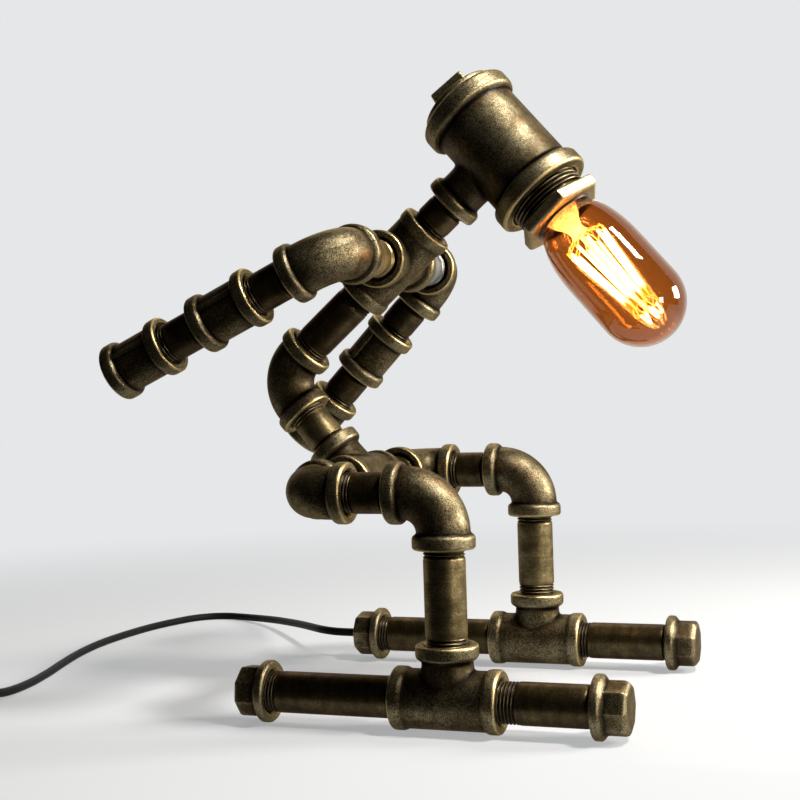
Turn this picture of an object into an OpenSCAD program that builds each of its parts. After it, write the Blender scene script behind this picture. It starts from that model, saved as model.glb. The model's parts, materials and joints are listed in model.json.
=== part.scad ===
// Desk lamp in the shape of a sitting robot, made up from screwed pipe fittings.
// Half-inch pipe makes the limbs and the trunk, a larger reducing tee is the head.
// The lamp looks along +X, its right side is -Y, and it stands on the plane z = 0.

/* [Pipe] */
// Outside diameter of the pipe
pipe_d = 21.3; // [20.5:0.1:22]
// Bore of the pipe
pipe_bore = 15.8; // [13:0.1:16.5]
// Diameter over the pipe thread
thread_d = 20.9; // [20:0.1:21]
// Length of thread screwed into a fitting
thread_in = 13.5; // [11:0.5:14]
// Length of thread left showing at a fitting
thread_show = 3.2; // [1:0.1:5]
// Radial clearance in a screwed joint
thread_gap = 0.05; // [0.02:0.01:0.1]

/* [Half-inch fittings] */
// Distance from the centre of a fitting to its face
fit_reach = 28; // [26:0.5:32]
// Diameter of the banded mouths
band_d = 32; // [30:0.5:34]
// Width of the band round a mouth
band_w = 6.5; // [5:0.5:8]
// Rounding of the band's rims
band_edge = 0.9; // [0.4:0.1:1.2]
// Diameter of the mouth at its face
mouth_d = 26.4; // [24:0.2:28]
// Depth of the flared mouth
mouth_deep = 3; // [1:0.5:4]
// Depth of the threaded bore below the face
bore_deep = 14.5; // [14:0.5:16]
// Diameter of the passage through a fitting
way_d = 18.6; // [16:0.2:19.5]
// Body diameter of an elbow
elbow_d = 27.4; // [25:0.2:28.5]
// Body diameter of the run of a tee or cross
run_d = 30; // [27:0.5:31]
// Neck diameter of the branch of a tee or cross
neck_d = 26; // [25:0.5:28]
// Radius of the casting fillet at the root of a branch
root_fillet = 14; // [13:0.5:20]

/* [Couplings and caps] */
// Length of a straight coupling
coupling_len = 36.4; // [34:0.2:42]
// Body diameter of a coupling
coupling_d = 27; // [25.5:0.5:29]
// Number of grip ribs on a coupling
rib_count = 2; // [2:1:6]
// Width of a grip rib
rib_w = 3; // [2:0.5:4]
// Height of a grip rib above the body
rib_h = 1.2; // [0.6:0.1:1.8]
// Turn of the first grip rib from the top of the arm
rib_turn = -66; // [-90:1:90]
// Length of a pipe cap
cap_len = 17.6; // [17:0.2:22]
// Width of the cap's band
cap_band_w = 5; // [3:0.5:6]
// Distance across the flats of the cap's eight-sided end
cap_flats = 25; // [24:0.5:28]
// Bevel round the end of the cap
cap_bevel = 2.2; // [1:0.2:3]
// Thickness of the cap's end wall
cap_wall = 3.8; // [2.5:0.1:4]

/* [Legs] */
// Pipe showing at the right heel
right_heel_show = 68; // [40:1:100]
// Pipe showing at the left heel
left_heel_show = 72; // [40:1:100]
// Pipe showing at the right toe
right_toe_show = 46; // [30:1:80]
// Pipe showing at the left toe
left_toe_show = 51; // [30:1:80]
// Pipe showing at the shin
shin_show = 47.2; // [30:0.2:90]
// Pipe showing at the thigh
thigh_show = 21.6; // [12:0.2:60]
// Pipe showing at the hip
hip_show = 29.8; // [12:0.2:50]

/* [Trunk and head] */
// Forward tilt of the trunk from upright
trunk_tilt = 49.4; // [35:0.2:60]
// Pipe showing at the waist
waist_show = 22; // [12:0.5:50]
// Pipe showing between back elbow and chest
trunk_show = 42.4; // [25:0.2:80]
// Pipe showing at the neck
neck_show = 16.8; // [10:0.2:40]
// Length of the head along its run
head_len = 71; // [64:1:90]
// Distance from the head's centre line to its branch face
head_reach = 42.5; // [40:0.5:55]
// Diameter of the head's bands
head_band_d = 56.4; // [52:0.2:58]
// Width of the head's bands
head_band_w = 9; // [7:0.5:12]
// Body diameter of the head
head_d = 49.2; // [46:0.2:50]
// Radius of the casting fillet where the head meets its neck
head_fillet = 26; // [20:1:40]
// Turn of the head about its neck, to its right side
head_turn = 3.6; // [-30:0.2:30]
// Diameter over the head's thread
head_thread_d = 42; // [41:0.2:43]
// Depth of the head's threaded bores
head_bore_deep = 15; // [14:0.5:18]
// Diameter of the passage through the head
head_way_d = 38.6; // [36:0.2:40]
// Thread showing between the head and the plug's shoulder
plug_show = 1.6; // [0:0.2:3]
// Thickness of the plug's round shoulder
plug_shoulder = 2.8; // [2:0.2:5]
// Width across the plug's square
plug_square = 21; // [18:0.5:26]
// Height of the plug's square
plug_high = 9.5; // [6:0.5:14]
// Thread showing between the head and the bushing's hexagon
bushing_show = 9.2; // [4:0.2:14]
// Thickness of the bushing's hexagon
bushing_thick = 6.8; // [5:0.2:10]
// Distance across the flats of the bushing's hexagon
bushing_flats = 46; // [44:0.5:50]
// Thread of the plug and the bushing inside the head
head_thread_in = 12; // [8:0.5:13]

/* [Arms] */
// Pipe showing at the shoulder
shoulder_show = 29.8; // [15:0.2:50]
// Pipe showing above and below the upper coupling
arm_show = 20.6; // [10:0.2:50]
// Angle of the right arm below the level line to the back
right_arm_tilt = 24.2; // [0:0.2:50]
// Angle of the left arm below the level line to the back
left_arm_tilt = 45.8; // [0:0.2:50]

/* [Lampholder and bulb] */
// Outside diameter of the lampholder
holder_d = 33.2; // [32:0.2:34.4]
// Clearance round the lampholder in the bushing
holder_gap = 0.15; // [0.1:0.05:0.3]
// Outside diameter of the lampholder's rim
holder_rim_d = 35; // [34.6:0.2:40]
// Height of the lampholder's rim
holder_rim = 1; // [1:0.2:3]
// Depth of the lampholder behind its rim
holder_deep = 31; // [29:0.5:36]
// Thickness of the lampholder's floor
holder_floor = 3; // [2:0.5:4]
// Wall of the brass screw shell
shell_wall = 0.5; // [0.3:0.1:0.8]
// Diameter of the bulb's screw cap
cap_screw_d = 26.5; // [26:0.1:26.6]
// Length of the bulb's screw cap without its tip
cap_screw_len = 19; // [17:0.5:21]
// Length of the insulated tip of the screw cap
cap_tip_len = 6; // [4:0.5:8]
// Clearance round the screw cap
cap_screw_gap = 0.3; // [0.1:0.05:0.5]
// Diameter of the bulb
bulb_d = 48; // [40:0.5:60]
// Length of glass in front of the lampholder's rim
bulb_show = 85.5; // [75:0.5:110]
// Thickness of the glass
glass = 1; // [0.6:0.1:1.6]
// Number of filament legs
filament_legs = 10; // [6:1:16]
// Thickness of a filament leg
filament_d = 0.9; // [0.5:0.1:1.4]

/* [Lead and cord] */
// Diameter of the lead inside the pipes
lead_d = 5; // [4:0.5:6]
// Bend radius of the lead in a tee
lead_bend = 12; // [10:0.5:13]
// Diameter of the power cord
cord_d = 5; // [4:0.5:6]
// Diameter of the grommet's lip
grommet_d = 11; // [9:0.5:14]
// Thickness of the grommet's lip
grommet_lip = 2.2; // [1.5:0.1:4]
// Diameter of the wound cord at the middle of its turns
coil_mid_d = 55; // [50:1:60]
// Width of the wound turns side by side
coil_wide = 20; // [10:1:25]
// Height of the wound turns on each other
coil_high = 10; // [5:1:20]
// Thickness of the strap round the wound cord
tie_thick = 0.8; // [0.6:0.1:1.5]
// Width of the strap round the wound cord
tie_w = 8; // [5:0.5:12]

/* [Switch and plug] */
// Length of the switch body without its nozzles
switch_len = 46; // [40:1:60]
// Width of the switch body
switch_w = 25; // [22:0.5:32]
// Height of the switch body
switch_h = 17; // [15:0.5:22]
// Height of the switch's lower half, where the cord runs through
switch_split = 8; // [7:0.5:9]
// Rounding of the switch's upright corners
switch_round = 5; // [3:0.5:8]
// Length of a cord nozzle on the switch
nozzle_len = 8; // [5:1:14]
// Length of the rocker
rocker_len = 18.5; // [14:0.5:24]
// Width of the rocker
rocker_w = 11; // [8:0.5:14]
// Height of the rocker's ends above its pivot
rocker_top = 7.2; // [6.5:0.1:8.5]
// Depth of the hollow along the rocker's top
rocker_dip = 1; // [0:0.1:2]
// Tilt of the rocker to either side
rocker_tilt = 7; // [4:0.5:9]
// Diameter of the rocker's pivot
rocker_pin_d = 2.4; // [2:0.1:3]
// Length of the pivot in each wall
rocker_pin_in = 1.5; // [1:0.1:3]
// Clearance round the rocker
rocker_gap = 0.4; // [0.3:0.05:0.8]
// Length of the plug body
plug_len = 36; // [30:1:44]
// Width of the plug body
plug_w = 35; // [33:0.5:38]
// Width of the plug body at the cord
plug_back_w = 15; // [12:0.5:20]
// Thickness of the plug body
plug_t = 13.6; // [12:0.2:16]
// Bevel along the plug's edges
plug_bevel = 2; // [1:0.5:3]
// Length of the plug's cord relief
plug_relief = 14; // [8:1:24]
// Diameter of a plug pin
pin_d = 4; // [4:0.1:4.8]
// Free length of a plug pin
pin_len = 19; // [15:0.5:22]
// Length of a plug pin inside the plug
pin_in = 10; // [6:0.5:14]
// Distance between the plug pins
pin_gap = 18.6; // [17:0.1:20]

/* [Hidden] */
$fn = 64;
eps = 0.01;

cast = [0.25, 0.20, 0.13];
iron = [0.17, 0.15, 0.12];
brass = [0.72, 0.56, 0.27];
black = [0.08, 0.08, 0.08];

// Bend radius of an elbow, which ends where its bands begin to flare
band_flare = 0.6;
elbow_bend = fit_reach - band_w - (band_d - elbow_d) / 2 * band_flare - 0.2;

// Places of the joints of the figure
function dir(a) = [sin(a), 0, cos(a)];
foot_z = band_d / 2;
leg_y = 2 * fit_reach + hip_show;
knee_z = foot_z + 2 * fit_reach + shin_show;
hip_x = -2 * fit_reach - thigh_show;
pelvis = [hip_x, 0, knee_z];
back = pelvis + dir(trunk_tilt - 90) * (2 * fit_reach + waist_show);
chest = back + dir(trunk_tilt) * (2 * fit_reach + trunk_show);
head = chest + dir(trunk_tilt) * (fit_reach + neck_show + head_reach);
shoulder_y = 2 * fit_reach + shoulder_show;
arm_len = fit_reach + 2 * arm_show + 2 * coupling_len;

// Steps along the head's own line
head_face = head_len / 2;
hex_face = head_face + bushing_show + bushing_thick;
rim_face = hex_face + holder_rim;
holder_back = hex_face - holder_deep;
cup_floor = holder_back + holder_floor;
contact_h = 1.2;
cap_tip = cup_floor + contact_h;
cap_mouth = cap_tip + cap_tip_len + cap_screw_len;
bulb_tip = rim_face + bulb_show;

// The frame stands midway between the hand and the furthest front point, on the ground
bulb_r = bulb_d / 2;
ball_x = head[0] + (bulb_tip - bulb_r) * cos(trunk_tilt) * cos(head_turn) + bulb_r;
toe_x = fit_reach + max(right_toe_show, left_toe_show) + cap_len;
heel_x = -fit_reach - max(right_heel_show, left_heel_show) - cap_len;
function hand_x(drop) = chest[0] - arm_len * cos(drop) - (band_d / 2 - band_edge) * sin(drop);
front_x = max(ball_x, toe_x);
back_x = min(hand_x(right_arm_tilt), hand_x(left_arm_tilt), heel_x);
mid_x = (front_x + back_x) / 2;

module place() translate([-mid_x, 0, 0]) children();
module along(p, a) translate(p) rotate([0, a, 0]) children();

// Ring turned from a half section, with bevelled rims
module ring(r_out, w, edge) {
    rotate_extrude()
        polygon([[0, 0], [r_out - edge, 0], [r_out, edge], [r_out, w - edge], [r_out - edge, w], [0, w]]);
}

// Banded end of a fitting along +Z, from depth z0 to its face
module banded_end(reach, z0, body_r, r_band, w, edge) {
    slope = (r_band - body_r) * band_flare;
    translate([0, 0, z0]) cylinder(r = body_r, h = reach - z0 - edge);
    translate([0, 0, reach - w]) ring(r_band, w, edge);
    translate([0, 0, reach - w - slope]) cylinder(r1 = body_r, r2 = r_band - edge, h = slope + eps);
}

// Hole of a screwed mouth along +Z: flared at the face, then the threaded bore
module mouth_hole(reach) {
    bore_r = thread_d / 2 + thread_gap;
    translate([0, 0, reach - bore_deep]) cylinder(r = bore_r, h = bore_deep + 1);
    translate([0, 0, reach - mouth_deep])
        cylinder(r1 = bore_r, r2 = mouth_d / 2, h = mouth_deep);
    translate([0, 0, reach - eps]) cylinder(r = mouth_d / 2, h = 1);
}

// Run of a tee or cross along Z, banded at both ends
module banded_run(reach, body_r, r_band, w, edge) {
    cylinder(r = body_r, h = 2 * (reach - w), center = true);
    for (s = [0, 180]) rotate([0, s, 0]) banded_end(reach, reach / 2, body_r, r_band, w, edge);
}

// Outline of a branch root: it sweeps out from the neck at z1 towards the run at z0
function root_sweep(r_neck, fillet, z0, z1) =
    let (steps = 6, drop = asin((z1 - z0) / fillet))
    [for (i = [0 : steps])
        let (t = drop * (1 - i / steps))
        [r_neck + fillet * (1 - cos(t)), z1 - fillet * sin(t)]];

// Branch root of a half-inch fitting, kept within the run's width by two wide cylinders
module half_inch_root() {
    r = run_d / 2;
    side_r = r * 1.35;
    side_y = side_r - r + 0.3;
    sweep = root_sweep(neck_d / 2, root_fillet, r * 0.53, r + 4);
    intersection() {
        rotate_extrude() polygon(concat([[0, 0], [sweep[0][0], 0]], sweep, [[0, r + 4]]));
        translate([0, side_y, 0]) rotate([0, 90, 0]) cylinder(r = side_r, h = 4 * r, center = true);
        translate([0, -side_y, 0]) rotate([0, 90, 0]) cylinder(r = side_r, h = 4 * r, center = true);
    }
}

module elbow() {
    difference() {
        union() {
            banded_end(fit_reach, elbow_bend, elbow_d / 2, band_d / 2, band_w, band_edge);
            rotate([0, 90, 0]) banded_end(fit_reach, elbow_bend, elbow_d / 2, band_d / 2, band_w, band_edge);
            quarter_bend(elbow_bend, elbow_d / 2);
        }
        mouth_hole(fit_reach);
        rotate([0, 90, 0]) mouth_hole(fit_reach);
        quarter_bend(elbow_bend, way_d / 2);
    }
}

// Quarter of a ring that joins a line along +Z to one along +X
module quarter_bend(bend, r) {
    translate([bend, 0, bend]) rotate([90, 0, 0]) rotate([0, 0, 180])
        rotate_extrude(angle = 90) translate([bend, 0]) circle(r = r);
}

// Tee with its run along X and its branch up +Z
module tee() {
    difference() {
        union() {
            rotate([0, 90, 0]) banded_run(fit_reach, run_d / 2, band_d / 2, band_w, band_edge);
            banded_end(fit_reach, 0, neck_d / 2, band_d / 2, band_w, band_edge);
            half_inch_root();
        }
        for (s = [-90, 0, 90]) rotate([0, s, 0]) {
            mouth_hole(fit_reach);
            cylinder(r = way_d / 2, h = fit_reach);
        }
    }
}

// Cross with one run along Z and one along X
module cross_fitting() {
    difference() {
        union() {
            for (s = [-90, 90]) rotate([0, s, 0]) {
                banded_end(fit_reach, 0, neck_d / 2, band_d / 2, band_w, band_edge);
                half_inch_root();
            }
            banded_run(fit_reach, run_d / 2, band_d / 2, band_w, band_edge);
        }
        for (s = [-90, 0, 90, 180]) rotate([0, s, 0]) {
            mouth_hole(fit_reach);
            cylinder(r = way_d / 2, h = fit_reach);
        }
    }
}

// Straight coupling from z = 0 to its full length, with ribs to grip it by
module coupling() {
    mid = coupling_len / 2;
    relief_r = thread_d / 2 + thread_gap + 0.4;
    difference() {
        union() {
            translate([0, 0, mid]) banded_run(mid, coupling_d / 2, band_d / 2, band_w, band_edge);
            for (i = [0 : rib_count - 1]) rotate([0, 0, rib_turn + 360 * i / rib_count])
                translate([0, -rib_w / 2, band_w - 1])
                    cube([coupling_d / 2 + rib_h, rib_w, coupling_len - 2 * band_w + 2]);
        }
        translate([0, 0, mid]) for (s = [0, 180]) rotate([0, s, 0]) mouth_hole(mid);
        translate([0, 0, bore_deep]) cylinder(r = relief_r, h = coupling_len - 2 * bore_deep);
    }
}

// Pipe cap from its face at z = 0, with an eight-sided end turned by spin
module pipe_cap(spin, hole_r) {
    r8 = cap_flats / 2 / cos(22.5);
    bore_r = thread_d / 2 + thread_gap;
    difference() {
        union() {
            ring(band_d / 2, cap_band_w, band_edge);
            intersection() {
                rotate([0, 0, spin]) cylinder(r = r8, h = cap_len, $fn = 8);
                union() {
                    cylinder(r = r8 + 0.1, h = cap_len - cap_bevel);
                    translate([0, 0, cap_len - cap_bevel])
                        cylinder(r1 = r8 + 0.1, r2 = r8 - cap_bevel, h = cap_bevel);
                }
            }
            translate([0, 0, cap_band_w - eps])
                cylinder(r1 = band_d / 2 - band_edge, r2 = cap_flats / 2 - 0.5, h = 2);
        }
        translate([0, 0, -1]) cylinder(r = bore_r, h = cap_len - cap_wall + 1);
        translate([0, 0, -eps]) cylinder(r1 = mouth_d / 2 - 1, r2 = bore_r, h = mouth_deep * 0.6);
        if (hole_r > 0) cylinder(r = hole_r, h = cap_len + 1);
    }
}

// Pipe nipple that shows between z = 0 and its visible length
module nipple(show) {
    difference() {
        union() {
            translate([0, 0, -thread_in]) cylinder(d = thread_d, h = show + 2 * thread_in);
            translate([0, 0, thread_show]) cylinder(d = pipe_d, h = show - 2 * thread_show);
        }
        translate([0, 0, -thread_in - 1]) cylinder(d = pipe_bore, h = show + 2 * thread_in + 2);
    }
}

// Legs and feet: side is -1 for the right and 1 for the left
module at_foot(side) place() translate([0, side * leg_y, foot_z]) children();
module at_knee(side) place() translate([0, side * leg_y, knee_z]) children();
module at_hip(side) place() translate([hip_x, side * leg_y, knee_z]) children();

module foot_tee(side) color(cast) at_foot(side) tee();
module heel_nipple(side, show) color(iron) at_foot(side)
    rotate([0, -90, 0]) translate([0, 0, fit_reach]) nipple(show);
module toe_nipple(side, show) color(iron) at_foot(side)
    rotate([0, 90, 0]) translate([0, 0, fit_reach]) nipple(show);
module heel_cap(side, show, spin, hole_r) color(cast) at_foot(side)
    rotate([0, -90, 0]) translate([0, 0, fit_reach + show]) pipe_cap(spin, hole_r);
module toe_cap(side, show, spin) color(cast) at_foot(side)
    rotate([0, 90, 0]) translate([0, 0, fit_reach + show]) pipe_cap(spin, 0);
module shin_nipple(side) color(iron) at_foot(side) translate([0, 0, fit_reach]) nipple(shin_show);
module knee_elbow(side) color(cast) at_knee(side) rotate([0, 180, 0]) elbow();
module thigh_nipple(side) color(iron) at_knee(side)
    rotate([0, -90, 0]) translate([0, 0, fit_reach]) nipple(thigh_show);
module hip_elbow(side) color(cast) at_hip(side) rotate([0, 90, 0]) rotate([0, 0, -side * 90]) elbow();
module hip_nipple(side) color(iron) at_hip(side)
    rotate([side * 90, 0, 0]) translate([0, 0, fit_reach]) nipple(hip_show);

// Trunk
module pelvis_tee() color(cast) place() along(pelvis, trunk_tilt - 90) rotate([0, 0, 90]) tee();
module waist_nipple() color(iron) place() along(pelvis, trunk_tilt - 90)
    translate([0, 0, fit_reach]) nipple(waist_show);
module back_elbow() color(cast) place() along(back, trunk_tilt) elbow();
module trunk_nipple() color(iron) place() along(back, trunk_tilt)
    translate([0, 0, fit_reach]) nipple(trunk_show);
module chest_cross() color(cast) place() along(chest, trunk_tilt) rotate([0, 0, 90]) cross_fitting();
module shoulder_nipple(side) color(iron) place() along(chest, trunk_tilt)
    rotate([-side * 90, 0, 0]) translate([0, 0, fit_reach]) nipple(shoulder_show);
module neck_nipple() color(iron) place() along(chest, trunk_tilt)
    translate([0, 0, fit_reach]) nipple(neck_show);

// Arms: the line of the arm runs along +Z from the shoulder elbow's centre
module on_arm(side, drop) place() translate([0, side * shoulder_y, 0]) along(chest, -90 - drop) children();
module shoulder_elbow(side, drop) color(cast) on_arm(side, drop) rotate([0, 0, -side * 90]) elbow();
module upper_arm_nipple(side, drop) color(iron) on_arm(side, drop)
    translate([0, 0, fit_reach]) nipple(arm_show);
module arm_coupling(side, drop) color(cast) on_arm(side, drop)
    translate([0, 0, fit_reach + arm_show]) coupling();
module forearm_nipple(side, drop) color(iron) on_arm(side, drop)
    translate([0, 0, fit_reach + arm_show + coupling_len]) nipple(arm_show);
module hand_coupling(side, drop) color(cast) on_arm(side, drop)
    translate([0, 0, fit_reach + 2 * arm_show + coupling_len]) coupling();

// Head: its run lies along +Z down to the bulb and its branch along +X to the neck
module on_head() place() along(head, trunk_tilt + 90) rotate([head_turn, 0, 0]) children();

// Branch of the head in one turned piece: swept root, neck and banded mouth
module head_branch() {
    r = neck_d / 2;
    band_r = band_d / 2;
    band_z = head_reach - band_w;
    rotate_extrude() polygon(concat(
        [[0, 0], [r + 2, 0]], root_sweep(r, head_fillet, head_d / 2 * 0.63, head_d / 2 + 4),
        [[r, band_z - (band_r - r) * band_flare], [band_r - band_edge, band_z], [band_r, band_z + band_edge],
        [band_r, head_reach - band_edge], [band_r - band_edge, head_reach], [0, head_reach]]));
}

module head_tee() color(cast) on_head() {
    head_bore_r = head_thread_d / 2 + thread_gap;
    difference() {
        union() {
            banded_run(head_face, head_d / 2, head_band_d / 2, head_band_w, band_edge * 1.3);
            rotate([0, 90, 0]) head_branch();
        }
        for (s = [0, 180]) rotate([0, s, 0]) translate([0, 0, head_face - head_bore_deep])
            cylinder(r = head_bore_r, h = head_bore_deep + 1);
        cylinder(d = head_way_d, h = head_len, center = true);
        rotate([0, 90, 0]) {
            mouth_hole(head_reach);
            cylinder(d = way_d, h = head_reach - bore_deep + eps);
        }
    }
}

module crown_plug() color(cast) on_head() rotate([180, 0, 0]) translate([0, 0, head_face + plug_show]) {
    thread_len = head_thread_in + plug_show;
    difference() {
        union() {
            translate([0, 0, -thread_len]) cylinder(d = head_thread_d, h = thread_len + eps);
            ring(head_thread_d / 2 + 2, plug_shoulder, 0.6);
            intersection() {
                rotate([0, 0, 12]) translate([-plug_square / 2, -plug_square / 2, 0])
                    cube([plug_square, plug_square, plug_shoulder + plug_high]);
                union() {
                    cylinder(r = plug_square * 0.68, h = plug_shoulder + plug_high - 2);
                    translate([0, 0, plug_shoulder + plug_high - 2])
                        cylinder(r1 = plug_square * 0.68, r2 = plug_square * 0.68 - 2.4, h = 2);
                }
            }
        }
        translate([0, 0, -thread_len - 1])
            cylinder(d = head_thread_d - 9, h = thread_len - 1);
    }
}

module head_bushing() color(cast) on_head() {
    hex_r = bushing_flats / 2 / cos(30);
    difference() {
        union() {
            translate([0, 0, head_face - head_thread_in])
                cylinder(d = head_thread_d, h = head_thread_in + bushing_show + eps);
            translate([0, 0, head_face + bushing_show]) intersection() {
                rotate([0, 0, 15]) cylinder(r = hex_r, h = bushing_thick, $fn = 6);
                union() {
                    cylinder(r = hex_r + 0.1, h = bushing_thick - 2);
                    translate([0, 0, bushing_thick - 2])
                        cylinder(r1 = hex_r + 0.1, r2 = hex_r - 2.6, h = 2);
                }
            }
        }
        translate([0, 0, head_face - head_thread_in - 1])
            cylinder(r = holder_d / 2 + holder_gap, h = head_thread_in + bushing_show + bushing_thick + 2);
    }
}

// Lampholder: a cup with a rim that rests on the bushing, and a hub for the lead
shell_r = cap_screw_d / 2 + cap_screw_gap;
hub_len = 8;
module lampholder() color(black) on_head() difference() {
    union() {
        translate([0, 0, holder_back]) cylinder(d = holder_d, h = holder_deep + holder_rim);
        translate([0, 0, hex_face]) ring(holder_rim_d / 2, holder_rim, 0.3);
        translate([0, 0, holder_back - hub_len]) cylinder(r = lead_d / 2 + 3, h = hub_len + eps);
    }
    translate([0, 0, cup_floor]) cylinder(r = shell_r + shell_wall, h = holder_deep + 5);
    translate([0, 0, holder_back - hub_len - 1]) cylinder(r = lead_d / 2 + thread_gap, h = hub_len + 1);
    translate([0, 0, rim_face - 2])
        cylinder(r1 = shell_r + shell_wall, r2 = holder_rim_d / 2 - 1.6, h = 2 + eps);
}

module screw_shell() color(brass) on_head() difference() {
    translate([0, 0, cup_floor])
        cylinder(r = shell_r + shell_wall - thread_gap, h = cap_mouth - cup_floor - 2);
    translate([0, 0, cup_floor - 1]) cylinder(r = shell_r, h = cap_mouth - cup_floor);
}

module centre_contact() color(brass) on_head()
    translate([0, 0, cup_floor]) cylinder(r = 4.5, h = contact_h);

module bulb_cap() color(brass) on_head() difference() {
    union() {
        translate([0, 0, cap_tip + cap_tip_len]) cylinder(d = cap_screw_d, h = cap_screw_len);
        translate([0, 0, cap_tip + 1])
            cylinder(r1 = 5.5, r2 = cap_screw_d / 2 - 1, h = cap_tip_len - 1 + eps);
        translate([0, 0, cap_tip]) cylinder(r = 4.2, h = 1 + eps);
    }
    translate([0, 0, cap_tip + cap_tip_len + 1]) cylinder(r = cap_screw_d / 2 - 0.8, h = cap_screw_len);
}

// Profile of the glass: neck in the screw cap, shoulder, body and round end
neck_r = cap_screw_d / 2 - 0.9;
neck_z = cap_tip + cap_tip_len + 4;
shoulder_z = rim_face - 1;
shoulder_len = 34;
function bulb_profile(t) = concat(
    [[neck_r - t, neck_z], [neck_r - t, shoulder_z]],
    [for (a = [9 : 9 : 90])
        [neck_r - t + (bulb_r - neck_r) * sin(a), shoulder_z + shoulder_len * (1 - cos(a))]],
    [for (a = [0 : 9 : 90]) [(bulb_r - t) * cos(a), bulb_tip - bulb_r + (bulb_r - t) * sin(a)]]
);

module bulb_glass() color([0.75, 0.38, 0.10, 0.5]) on_head() rotate_extrude() difference() {
    polygon(concat(bulb_profile(0), [[0, neck_z]]));
    polygon(concat(bulb_profile(glass), [[0, neck_z - 1], [neck_r - glass, neck_z - 1]]));
}

// Glass mount that closes the neck and holds the filament cage
stem_top = rim_face + 13;
cage_top = rim_face + 19;
cage_end = bulb_tip - 22;
rod_end = cage_end + 4;
rod_r = 1.3;
module bulb_stem() color([0.85, 0.80, 0.70, 0.6]) on_head() union() {
    translate([0, 0, neck_z + 1]) cylinder(r = neck_r - glass - 0.03, h = 3);
    translate([0, 0, neck_z + 4]) cylinder(r1 = neck_r - glass - 0.03, r2 = 4.5, h = 9);
    translate([0, 0, neck_z + 13]) cylinder(r = 4.5, h = stem_top - neck_z - 13);
    translate([0, 0, stem_top - eps]) cylinder(r = rod_r, h = rod_end - stem_top);
}

// Cage of straight filament legs between two spiders, narrow at the far end
cage_r1 = 11.5;
cage_r2 = 5.2;
spider = 1.2;
module bulb_filament() color([1, 0.75, 0.3]) on_head() {
    lean = atan((cage_r1 - cage_r2) / (cage_end - cage_top));
    leg = (cage_end - cage_top) / cos(lean);
    difference() {
        union() {
            for (i = [0 : filament_legs - 1]) rotate([0, 0, 360 * i / filament_legs])
                translate([cage_r1, 0, cage_top]) rotate([0, -lean, 0])
                    cylinder(d = filament_d, h = leg, $fn = 16);
            spider_wheel(cage_r1, cage_top);
            spider_wheel(cage_r2, cage_end);
        }
        translate([0, 0, stem_top]) cylinder(r = rod_r + thread_gap, h = rod_end);
    }
}
module spider_wheel(r, z) translate([0, 0, z - spider / 2]) {
    difference() {
        cylinder(r = r + spider, h = spider);
        translate([0, 0, -1]) cylinder(r = r - spider, h = spider + 2);
    }
    for (i = [0 : 1]) rotate([0, 0, 90 * i]) translate([-r, -spider / 3, spider * 0.2])
        cube([2 * r, spider / 1.5, spider * 0.6]);
}

// Lead inside the pipes, laid out step by step
module lead_run(len) {
    cylinder(d = lead_d, h = len);
    translate([0, 0, len]) children();
}
module lead_turn(bend) {
    translate([bend, 0, 0]) mirror([1, 0, 0]) rotate([90, 0, 0])
        rotate_extrude(angle = 90) translate([bend, 0]) circle(d = lead_d);
    translate([bend, 0, bend]) rotate([0, 90, 0]) children();
}

joint_in = fit_reach - thread_in;
heel_end = fit_reach + left_heel_show + cap_len;
module leg_lead() color(black) at_foot(1) translate([-heel_end - grommet_lip, 0, 0]) rotate([0, 90, 0])
    lead_run(heel_end + grommet_lip - lead_bend) rotate([0, 0, 180]) lead_turn(lead_bend)
    lead_run(2 * fit_reach + shin_show - lead_bend - elbow_bend) lead_turn(elbow_bend)
    lead_run(2 * fit_reach + thigh_show - 2 * elbow_bend) rotate([0, 0, 90]) lead_turn(elbow_bend)
    lead_run(leg_y - elbow_bend - joint_in);

module trunk_lead() color(black) place() along(pelvis, trunk_tilt - 90) rotate([0, 0, 90]) {
    translate([joint_in - 0.3, 0, 0]) rotate([0, -90, 0]) lead_run(joint_in - 0.3 - lead_bend)
        lead_turn(lead_bend)
        lead_run(2 * fit_reach + waist_show - lead_bend - elbow_bend)
        rotate([0, 0, -90]) lead_turn(elbow_bend)
        lead_run(2 * fit_reach + trunk_show - elbow_bend + fit_reach + neck_show + thread_in);
}

head_in = head_reach - thread_in;
module head_lead() color(black) on_head() translate([head_in - 0.3, 0, 0]) rotate([0, -90, 0])
    lead_run(head_in - 0.3 - lead_bend) lead_turn(lead_bend)
    lead_run(holder_back - lead_bend);

// Rubber grommet in the left heel cap, with its long taper inside the pipe
grommet_neck_r = grommet_d / 2 - 1.5;
grommet_taper = 14;
module cord_grommet() color(black) at_foot(1) translate([-heel_end + cap_wall, 0, 0]) rotate([0, -90, 0])
    difference() {
        union() {
            translate([0, 0, -grommet_taper])
                cylinder(r1 = lead_d / 2 + 0.8, r2 = pipe_bore / 2 - 1.5, h = grommet_taper);
            cylinder(r = grommet_neck_r, h = cap_wall + eps);
            translate([0, 0, cap_wall]) ring(grommet_d / 2, grommet_lip, 0.6);
        }
        translate([0, 0, -grommet_taper - 1])
            cylinder(r = lead_d / 2 + thread_gap, h = grommet_taper + cap_wall + grommet_lip + 2);
    }

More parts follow.
